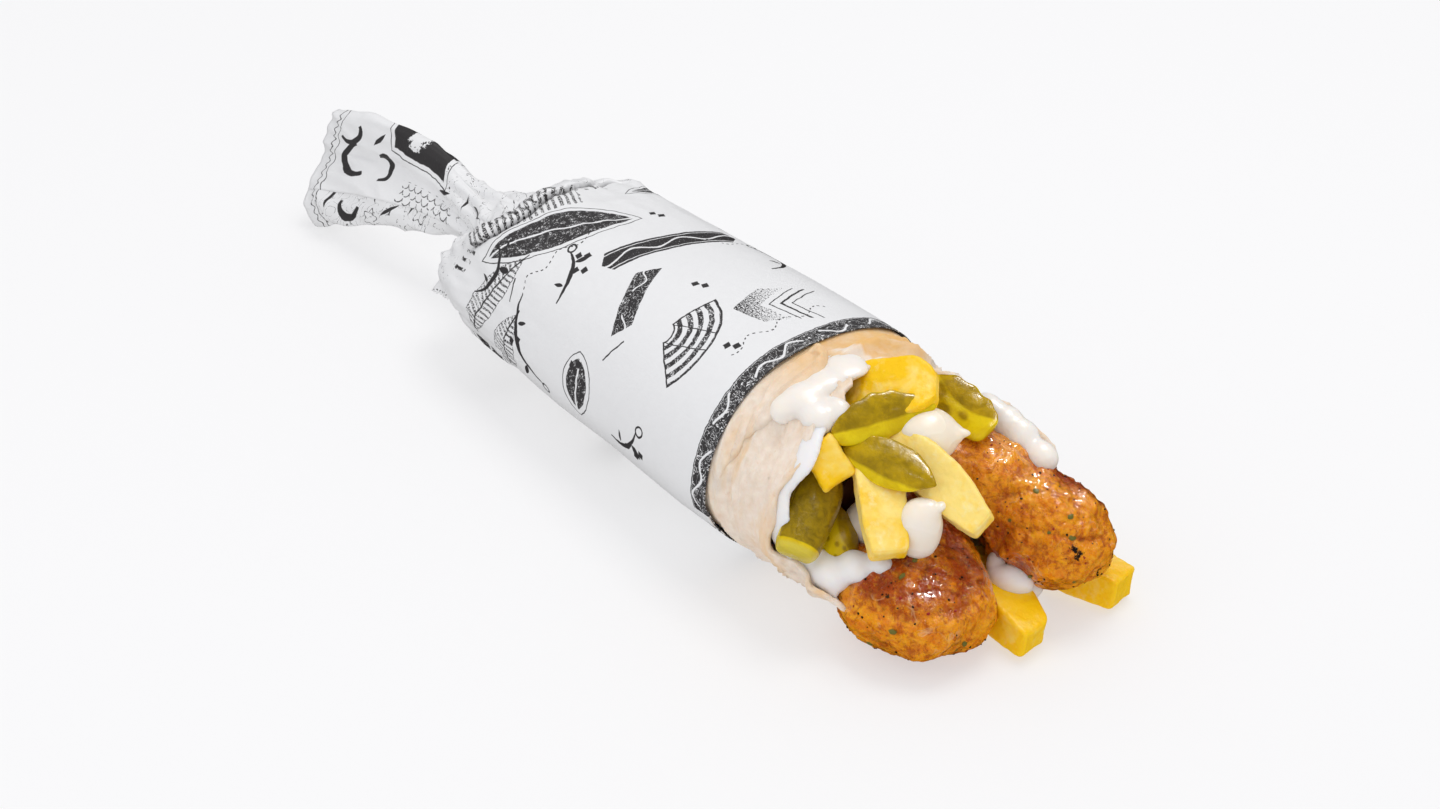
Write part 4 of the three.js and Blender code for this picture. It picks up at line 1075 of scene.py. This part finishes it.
pale_end = (0.66, 0.53, 0.06)
pickle_colour = blended(tree, attribute(tree, "pale").between(0.1, 0.9), pickle_colour, pale_end)
tree.links.new(pickle_colour, shader.inputs["Base Color"])
shader.inputs["Subsurface Weight"].default_value = 0.3
shader.inputs["Subsurface Radius"].default_value = (0.0024, 0.0020, 0.0002)
shader.inputs["Subsurface Scale"].default_value = 1.0
shader.inputs["Coat Weight"].default_value = 0.25
shader.inputs["Coat Roughness"].default_value = 0.14
raised(tree, shader, noise(tree, wet, 0.8, 4, 0.6), 0.22)

for number, (name, slice_of) in enumerate(PICKLES.items()):
    length = (Vector(slice_of["end"]) - Vector(slice_of["start"])).length
    sizes = {key: value for key, value in slice_of.items() if key not in ("start", "end", "face")}
    points, along, across, up = pickle_rings(length, seed=number, **sizes)
    pickle_points, pickle_faces = tube(points)
    mesh = bpy.data.meshes.new(name + "_slice")
    mesh.from_pydata(pickle_points.tolist(), [], pickle_faces)
    mesh.shade_smooth()
    pickle = bpy.data.objects.new(name + "_slice", mesh)
    scene.collection.objects.link(pickle)
    turned_outwards(pickle)
    seedy, skinned, pale = np.zeros_like(across), np.zeros_like(across), np.zeros_like(across)
    if "heart_from" in slice_of:
        edge = slice_of["heart_from"] + slice_of.get("heart_ends", 0.0) * 8 * (along - 0.5) ** 2
        seedy = smooth(across, edge - 0.22, edge + 0.22) * smooth(-abs(across), -1.04, -0.9)
    for patch_along, patch_across, reach in slice_of.get("patches", ()):
        off = ((along - patch_along) / reach) ** 2 + ((across - patch_across) / reach / 2.6) ** 2
        seedy = np.maximum(seedy, 0.85 * np.exp(-off))
    if slice_of.get("skinned"):
        skinned = smooth(up, -0.35, 0.0) * smooth(-along, -0.93, -0.86) * smooth(across, -0.95, -0.8)
        pale = smooth(-up, -0.1, 0.3) * 0.6 + smooth(along, 0.9, 0.97)
    for attribute_name, values in (("heart", seedy), ("skin", skinned), ("pale", np.clip(pale, 0, 1))):
        give_number(pickle, attribute_name, [*values.ravel(), values[0].mean(), values[-1].mean()])
    laid(pickle, slice_of["start"], slice_of["end"], slice_of["face"])
    pickle.data.materials.append(pickle_finish)
    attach(pickle, "root")
    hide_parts(name)

# ---------------------------------------------------------------- grilled chicken
# Two folded pieces of marinated thigh, glazed and grilled: amber where the glaze is thick, red-brown where it
# scorched, charred on a few high spots. Red-brown is also painted as shade in hollows and on the near piece's
# underside, the near piece is painted almost black as shade at the back, and light orange patches are a painted
# sheen. Each is round lobes that melt into each other, with fibres over them.
JOIN = 2.6  # how tightly lobes join: more is sharper
CHICKEN = {
    "chicken_near": dict(middle=(46, -8, 14), lobes=[
        ((48, -11, 14), (23, 18, 14.5), -12, 0), ((37, 0, 16), (18, 15, 13), 0, 0), ((58, -4, 13), (11, 11, 11), 0, 0),
        ((25, 3, 17), (13, 13, 13), 0, 0)]),
    "chicken_far": dict(middle=(54, 26, 24), lobes=[
        ((60, 27.5, 23), (18.5, 14, 15), 10, 0), ((40, 22, 33), (20, 12.5, 13), 2, 0),
        ((36, 14.5, 36), (8, 8, 8), 0, 0)]),
}


def even_lumps(points, wave, seed):
    """Three crossed waves over each point, from about -1 to 1."""
    k = 2 * math.pi / wave
    x, y, z = np.moveaxis(points, -1, 0)
    return (np.sin(k * x + 1.7 * seed + 1.3 * np.sin(k * y + seed)) +
            np.sin(k * y + 2.9 * seed + 1.1 * np.sin(k * z + 2 * seed)) +
            np.sin(k * z + 4.1 * seed + 1.2 * np.sin(k * x + 3 * seed))) / 3


def lump(name, middle, lobes, fine):
    """A round lump: a piece, its points, and the direction each looks in from the lump's middle."""
    ball = bmesh.new()
    bmesh.ops.create_icosphere(ball, subdivisions=fine, radius=1)
    mesh = bpy.data.meshes.new(name)
    ball.to_mesh(mesh)
    ball.free()
    direction = np.empty(len(mesh.vertices) * 3)
    mesh.vertices.foreach_get("co", direction)
    direction = direction.reshape(-1, 3)
    direction /= np.linalg.norm(direction, axis=1, keepdims=True)
    middle = np.array(middle, float)

    def field(distance):
        total = 0
        for at, size, heading, pitch in lobes:
            turn = Matrix.Rotation(math.radians(heading), 3, "Z") @ Matrix.Rotation(math.radians(-pitch), 3, "Y")
            local = (middle + direction * distance[:, None] - at) @ np.array(turn) / size
            total = total + np.exp(JOIN * (1 - (local ** 2).sum(1)))
        return total

    outer = np.full(len(direction), 60.0)
    for _ in range(119):
        outer = np.where((outer > 0.5) & (field(outer) < 1), outer - 0.5, outer)
    inner, outer = outer, outer + 0.5
    for _ in range(10):
        half = (inner + outer) / 2
        inside = field(half) >= 1
        inner, outer = np.where(inside, half, inner), np.where(inside, outer, half)
    mesh.shade_smooth()
    piece = bpy.data.objects.new(name, mesh)
    scene.collection.objects.link(piece)
    return piece, middle + direction * inner[:, None], direction


def put(piece, points):
    """Moves the piece's points to these, in the wrap's own frame, none of them below the table."""
    points = np.array(points)
    points[:, 2] = np.maximum(points[:, 2], TABLE_FLAT + 0.05)
    piece.data.vertices.foreach_set("co", in_part(points).ravel())
    piece.data.update()


chicken_finish, tree, shader = new_finish("glazed_grilled_chicken", roughness=0.3, specular=0.45)
meat = placed(tree)
grain_way = placed(tree, (0.4, 1, 1), (0, 0, -0.88))
strands = noise(tree, grain_way, 0.35, 5, 0.66, 0.9)
# red-brown where the glaze scorched, plus painted shade in hollows and on the near piece's underside
caught = attribute(tree, "caught") + (noise(tree, meat, 0.16, 5, 0.72, 0.6) - 0.5) * 2.0 + (strands - 0.5) * 1.2
amber = blended(tree, strands.between(0.36, 0.62), (0.80, 0.215, 0.002), (0.98, 0.40, 0.005))
ruddy = blended(tree, noise(tree, meat, 0.4, 4, 0.7).between(0.4, 0.62), (0.50, 0.075, 0.003), (0.20, 0.026, 0.003))
meat_colour = blended(tree, caught.between(0.25, 0.85), amber, ruddy)
seared = (noise(tree, meat, 0.33, 6, 0.78, 0.5) + attribute(tree, "caught") * 0.08).between(0.50, 0.61)
meat_colour = blended(tree, seared * 0.72, meat_colour, (0.40, 0.052, 0.003))
# painted sheen: random light orange patches stand in for the glaze's shine
shine = noise(tree, meat, 0.55, 4, 0.7).between(0.56, 0.7)
meat_colour = blended(tree, shine * 0.5, meat_colour, (1.0, 0.50, 0.03))
membrane = abs(noise(tree, meat, 0.075, 2, 0.5, 1.4) - 0.5).between(0.012, 0.0) * noise(tree, meat, 0.14, 1).between(0.5, 0.6)
meat_colour = blended(tree, membrane * 0.55, meat_colour, (0.86, 0.50, 0.24))
grains = noise(tree, meat, 0.9, 3, 0.6)
meat_colour = blended(tree, grains.between(0.64, 0.74) * 0.6, meat_colour, (0.88, 0.40, 0.03))
meat_colour = blended(tree, (1 - grains).between(0.66, 0.74) * 0.6, meat_colour, (0.14, 0.02, 0.006))
char = (attribute(tree, "char") * 0.75 + (noise(tree, meat, 0.8, 4, 0.8) - 0.5) * 2.6).between(0.6, 0.7)
char = char * attribute(tree, "char").between(0.08, 0.2)
meat_colour = blended(tree, char, meat_colour, (0.010, 0.007, 0.007))
# painted shade: the near piece turns almost black towards the back of the mouth, in the gap behind the fries
meat_colour = blended(tree, attribute(tree, "deep").between(0.0, 1.0), meat_colour, (0.035, 0.006, 0.002))
tree.links.new(meat_colour, shader.inputs["Base Color"])
tree.links.new((noise(tree, meat, 0.5, 3, 0.6) * 0.4 + 0.1).socket, shader.inputs["Roughness"])
shader.inputs["Subsurface Weight"].default_value = 0.15
shader.inputs["Subsurface Radius"].default_value = (0.0028, 0.0009, 0.0002)
shader.inputs["Subsurface Scale"].default_value = 0.9
shader.inputs["Coat Weight"].default_value = 0.9
shader.inputs["Coat Roughness"].default_value = 0.07
raised(tree, shader, noise(tree, meat, 0.85, 4, 0.66) * 0.8 + noise(tree, grain_way, 0.6, 3, 0.6) * 0.4, 0.75)

glazed = []  # for the seasoning: points of the chicken's surface and which way they look
CHAR_SPOTS = {
    "chicken_near": [(55.2, -24.2, 22.6, 1.5), (66.5, -16.5, 21, 1.1), (60, -20, 24, 0.9)],
    "chicken_far": [(76.8, 22.2, 25.7, 2.2), (75.5, 21, 27.6, 1.7), (78, 30.3, 16.3, 2.1), (78.3, 28.5, 18.5, 1.5)]}
for number, (name, of) in enumerate(CHICKEN.items()):
    chicken, points, out = lump(name + "_grilled", of["middle"], of["lobes"], 7)
    at = points + [0, 90 * number, 0]
    fibres = at @ np.array(Matrix.Rotation(0.88, 3, "Z")) * [0.3, 1, 1]  # they run to the right of the picture
    low = even_lumps(points, 24, 1) * 0.8
    relief = low - 0.8 * creases(fibres, 19, 42, 1.5) + 0.45 * ripples(at, 11, 41)
    relief += 0.26 * ripples(fibres, 5.5, 43) + 0.2 * ripples(at, 3.6, 44) + 0.09 * ripples(at, 1.7, 45, 24)
    surface = points + out * relief[:, None]
    put(chicken, surface)
    glazed.append((surface, out))
    # Red-brown where the glaze scorched on the near piece's top and the far piece's right-hand ridge, darker on the far
    # piece's low near side; the near piece's underside and the hollows of the relief get the same red-brown as painted
    # shade.
    if name == "chicken_near":
        upper = 0.8 * smooth(points[:, 2], 17, 24) + 0.3 * smooth(-points[:, 2], -9, -3)
    else:
        upper = 1.5 * smooth(out[:, 1], 0.05, 0.5) * smooth(out[:, 2], 0.05, 0.35) * smooth(-points[:, 0], -74, -66)
        upper += 1.0 * smooth(-out[:, 1], 0.4, 0.8) * smooth(-points[:, 2], -32, -23)
    give_number(chicken, "caught", np.clip(upper * 0.75 - relief * 0.3, 0, 1))
    # painted shade: the near piece's back, in the gap behind the fries
    give_number(chicken, "deep", smooth(-points[:, 0], -31, -24) if name == "chicken_near" else 0 * points[:, 0])
    charred = sum(np.exp(-((points - spot[:3]) ** 2).sum(1) / spot[3] ** 2) for spot in CHAR_SPOTS[name])
    give_number(chicken, "char", charred)
    chicken.data.materials.append(chicken_finish)
    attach(chicken, "root")
    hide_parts(name)
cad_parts["chicken_filling"].data.materials.clear()
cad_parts["chicken_filling"].data.materials.append(chicken_finish)

# ---------------------------------------------------------------- garlic sauce
# Whipped garlic sauce, white and thick: smooth dollops that end in a pulled peak, a splash that runs over the
# bread, smears, and a pool that wells up round the chicken and lines the bread behind it.
DOLLOPS = {
    "sauce_splash": dict(middle=(15, -12, 58.5), lobes=[
        ((12, -1.5, 61), (6.5, 5.5, 1.8), 20, 0), ((14, -9, 60.3), (4.6, 5.5, 2.6), 0, 0),
        ((14.2, -16.5, 58.2), (5.4, 6.2, 3.8), 0, 0), ((12.2, -21.5, 55.8), (3.8, 4.2, 3.6), 0, 0),
        ((20.5, -18, 56), (5, 4.2, 4.2), 0, 0), ((23, -13, 55.5), (4.4, 3.6, 5.4), 0, 0)]),
    "sauce_dollop_far": dict(middle=(37, 5, 50), lobes=[
        ((36.4, 4.4, 49.4), (9.0, 8.0, 7.4), 40, 0), ((41.6, 9.2, 50.6), (3, 2.4, 2), 45, 0),
        ((43.6, 10.8, 51.3), (2, 1.1, 0.9), 45, 0)]),
    "sauce_dollop_near": dict(middle=(52, -11, 37), lobes=[
        ((52, -11, 36), (5.8, 6.0, 8.6), 0, 0), ((54.2, -9.4, 42), (2.3, 2.3, 2.2), 0, 0),
        ((56.0, -7.6, 43.3), (1.1, 1.5, 1.0), 35, 0)]),
    "sauce_wall": dict(middle=(46, 30, 42), lobes=[
        ((40.5, 30, 44.5), (4.8, 4.6, 4.8), 0, 0), ((46, 30.5, 42.5), (4.4, 4.6, 5.2), 0, 0),
        ((52.5, 31, 40), (5.2, 4.2, 4.4), 0, 0), ((35, 29, 48), (4.4, 3.2, 2.8), 0, 0)]),
    "sauce_between": dict(middle=(57, 18, 11), lobes=[
        ((56, 21, 8), (8, 8, 7), 0, 0), ((60.5, 14.5, 12.5), (6.2, 4.2, 4.8), 20, 0), ((55, 15, 15), (3, 3, 3.5), 0, 0)]),
    "sauce_dab": dict(middle=(32, -9, 26), lobes=[((33, -11, 27), (6.5, 6, 6.5), 0, 0)]),
}
CREAMY = {"sauce_splash": 0.4, "sauce_dollop_far": 1.0, "sauce_dollop_near": 0.8, "sauce_dab": 0.7, "sauce_wall": 0.35}

sauce_finish, tree, shader = new_finish("whipped_garlic_sauce", roughness=0.3, specular=0.4)
cream = placed(tree)
creaminess = (attribute(tree, "creamy") + (noise(tree, cream, 0.11, 3, 0.5) - 0.5) * 0.9).between(0.0, 1.0)
sauce_colour = blended(tree, creaminess, (0.87, 0.85, 0.84), (0.93, 0.82, 0.67))
# painted shade: the pool turns almost black in the gap behind the fries
sauce_colour = blended(tree, attribute(tree, "stained").between(0.0, 1.0), sauce_colour, (0.045, 0.010, 0.003))
tree.links.new(sauce_colour, shader.inputs["Base Color"])
shader.inputs["Subsurface Weight"].default_value = 0.35
shader.inputs["Subsurface Radius"].default_value = (0.003, 0.0024, 0.0018)
shader.inputs["Subsurface Scale"].default_value = 0.8
raised(tree, shader, noise(tree, cream, 0.3, 2, 0.5), 0.12)

for number, (name, of) in enumerate(DOLLOPS.items()):
    dollop, points, out = lump(name + "_whipped", of["middle"], of["lobes"], 6)
    at = points + [0, 50 * number, 0]
    relief = 0.16 * ripples(at, 12, 51) + 0.12 * creases(at * [0.6, 1, 1], 13, 53, 2.5)
    put(dollop, points + out * relief[:, None])
    give_number(dollop, "creamy", np.full(len(points), CREAMY.get(name, 0.0)))
    dollop.data.materials.append(sauce_finish)
    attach(dollop, "root")
    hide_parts(name)

POOL_VOXEL = 0.85
pool = bpy.data.objects.new("garlic_sauce_pool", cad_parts["garlic_sauce"].data.copy())
scene.collection.objects.link(pool)
smear_angles = np.radians(np.linspace(112, 194, 76))
smear_around = np.linspace(0, 2 * math.pi, 18, endpoint=False)
smear_rings = []
for angle in smear_angles:
    reach = 1 + 2.6 * math.sin(math.pi * (math.degrees(angle) - 111.9) / 82.2) ** 0.6 + 0.7 * math.sin(9 * angle)
    x = mouth_edge(angle) + 0.2 + reach * np.cos(smear_around)
    smear_rings.append(on_roll(x, np.full(18, angle), 2.3 + 1.3 * np.sin(smear_around)))
welded = bmesh.new()
welded.from_mesh(pool.data)
bmesh.ops.remove_doubles(welded, verts=welded.verts, dist=1e-6)
smear_points, smear_faces = tube(smear_rings)
smear_verts = [welded.verts.new(point) for point in in_part(smear_points)]
smear_made = [welded.faces.new([smear_verts[i] for i in face]) for face in smear_faces]
bmesh.ops.recalc_face_normals(welded, faces=smear_made)
for at, size in (((35, -26.5, 20.5), (8, 5.5, 5)), ((41.5, -22.5, 23.5), (5.5, 4.5, 4)), ((46, -18.5, 25), (4.5, 3.5, 3.5))):
    scaled = Matrix.Translation(in_part(at)) @ Matrix.Diagonal((*(r * MM for r in size), 1))
    bmesh.ops.create_icosphere(welded, subdivisions=4, radius=1, matrix=scaled)
welded.to_mesh(pool.data)
welded.free()
remesh = pool.modifiers.new("even", "REMESH")
remesh.mode = "VOXEL"
remesh.voxel_size = POOL_VOXEL * MM
soften = pool.modifiers.new("soft", "SMOOTH")
soften.factor = 0.5
soften.iterations = 5
made_plain(pool)
pool_points = np.empty(len(pool.data.vertices) * 3)
pool.data.vertices.foreach_get("co", pool_points)
pool_points = pool_points.reshape(-1, 3) / MM - TO_PART
# painted shade: the part of the pool in the gap behind the fries, below the top and towards the near side
give_number(pool, "stained", smooth(-pool_points[:, 0], -31, -27)
            * smooth(pool_points[:, 1], -24, -19) * smooth(-pool_points[:, 2], -44, -38))
pool.data.materials.clear()
pool.data.materials.append(sauce_finish)
pool.data.shade_smooth()
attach(pool, "root")
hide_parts("garlic_sauce")

# ---------------------------------------------------------------- seasoning
# Cracked pepper, chopped herbs and chilli flakes that cooked onto the chicken: thin crumbs, turned at random and
# half sunk in the glaze. They are strewn over points that were picked on the visible side of both pieces.
SEASONING = {
    "pepper_specks": dict(count=150, size=0.42, thin=0.75, colour=(0.012, 0.008, 0.006)),
    "herb_flakes": dict(count=18, size=1.15, thin=0.3, colour=(0.17, 0.155, 0.02)),
    "chilli_flakes": dict(count=34, size=0.6, thin=0.35, colour=(0.36, 0.012, 0.004)),
}
seasoned_points = np.concatenate([surface for surface, _ in glazed])
seasoned_ways = np.concatenate([way for _, way in glazed])
open_to_view = (seasoned_ways @ np.array(to_camera) > 0.15) & (seasoned_points[:, 0] > 40)
seasoned_points, seasoned_ways = seasoned_points[open_to_view], seasoned_ways[open_to_view]

for number, (name, kind) in enumerate(SEASONING.items()):
    crumb_finish, tree, shader = new_finish(name + "_finish", roughness=0.45)
    shader.inputs["Base Color"].default_value = (*kind["colour"], 1)
    strewn = Steps(name, {"Size": 1, "Thin": 0.5, "Seed": 1}, on_mesh=True)
    g = strewn.given
    crumb_shape = strewn.node("GeometryNodeMeshIcoSphere", [("Radius", 1.0), ("Subdivisions", 2)]).outputs[0]
    crumb_at = strewn.node("GeometryNodeInputPosition").outputs[0]
    rough = strewn.maths("ADD", 1.0, strewn.cloud(crumb_at, 1.3, g["Seed"]))
    uneven = strewn.node("ShaderNodeVectorMath", [(0, crumb_at), (3, rough)], operation="SCALE").outputs[0]
    flat = strewn.vectors("MULTIPLY", uneven, strewn.vector(1.0, 0.7, g["Thin"]))
    crumb_shape = strewn.node("GeometryNodeSetPosition", [(0, crumb_shape), ("Position", flat)]).outputs[0]
    facing = strewn.node("GeometryNodeInputNamedAttribute", [("Name", "facing")], data_type="FLOAT_VECTOR").outputs[0]
    turned = strewn.node("FunctionNodeAlignRotationToVector", [("Vector", facing)], axis="Z").outputs[0]
    spin = strewn.node("FunctionNodeRandomValue", [("Seed", 7)], data_type="FLOAT")
    spin.inputs[2].default_value, spin.inputs[3].default_value = 0.0, 2 * math.pi
    spun = strewn.node("FunctionNodeRotateRotation", [
        (0, turned), (1, strewn.vector(0.0, 0.0, spin.outputs[1]))], rotation_space="LOCAL").outputs[0]
    sizes = strewn.node("FunctionNodeRandomValue", [("Seed", 3)], data_type="FLOAT")
    sizes.inputs[2].default_value, sizes.inputs[3].default_value = 0.45, 1.0
    scale = strewn.maths("MULTIPLY", sizes.outputs[1], g["Size"])
    instances = strewn.node("GeometryNodeInstanceOnPoints", [
        (0, g["Mesh"]), ("Instance", crumb_shape), ("Rotation", spun), ("Scale", scale)]).outputs[0]
    strewn.finish(instances, crumb_finish)
    picked = np.random.default_rng(60 + number).choice(len(seasoned_points), kind["count"], replace=False)
    seeds = bpy.data.meshes.new(name)
    seeds.from_pydata(seasoned_points[picked].tolist(), [], [])
    facings = seeds.attributes.new("facing", "FLOAT_VECTOR", "POINT")
    facings.data.foreach_set("vector", seasoned_ways[picked].astype(np.float32).ravel())
    crumbs = grown_by(strewn, name, {"Size": kind["size"], "Thin": kind["thin"], "Seed": float(number)}, seeds)
    crumbs.data.transform(Matrix.Translation(in_part((0, 0, 0))) @ Matrix.Scale(MM, 4))
    crumbs.data.shade_smooth()
    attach(crumbs, "root")
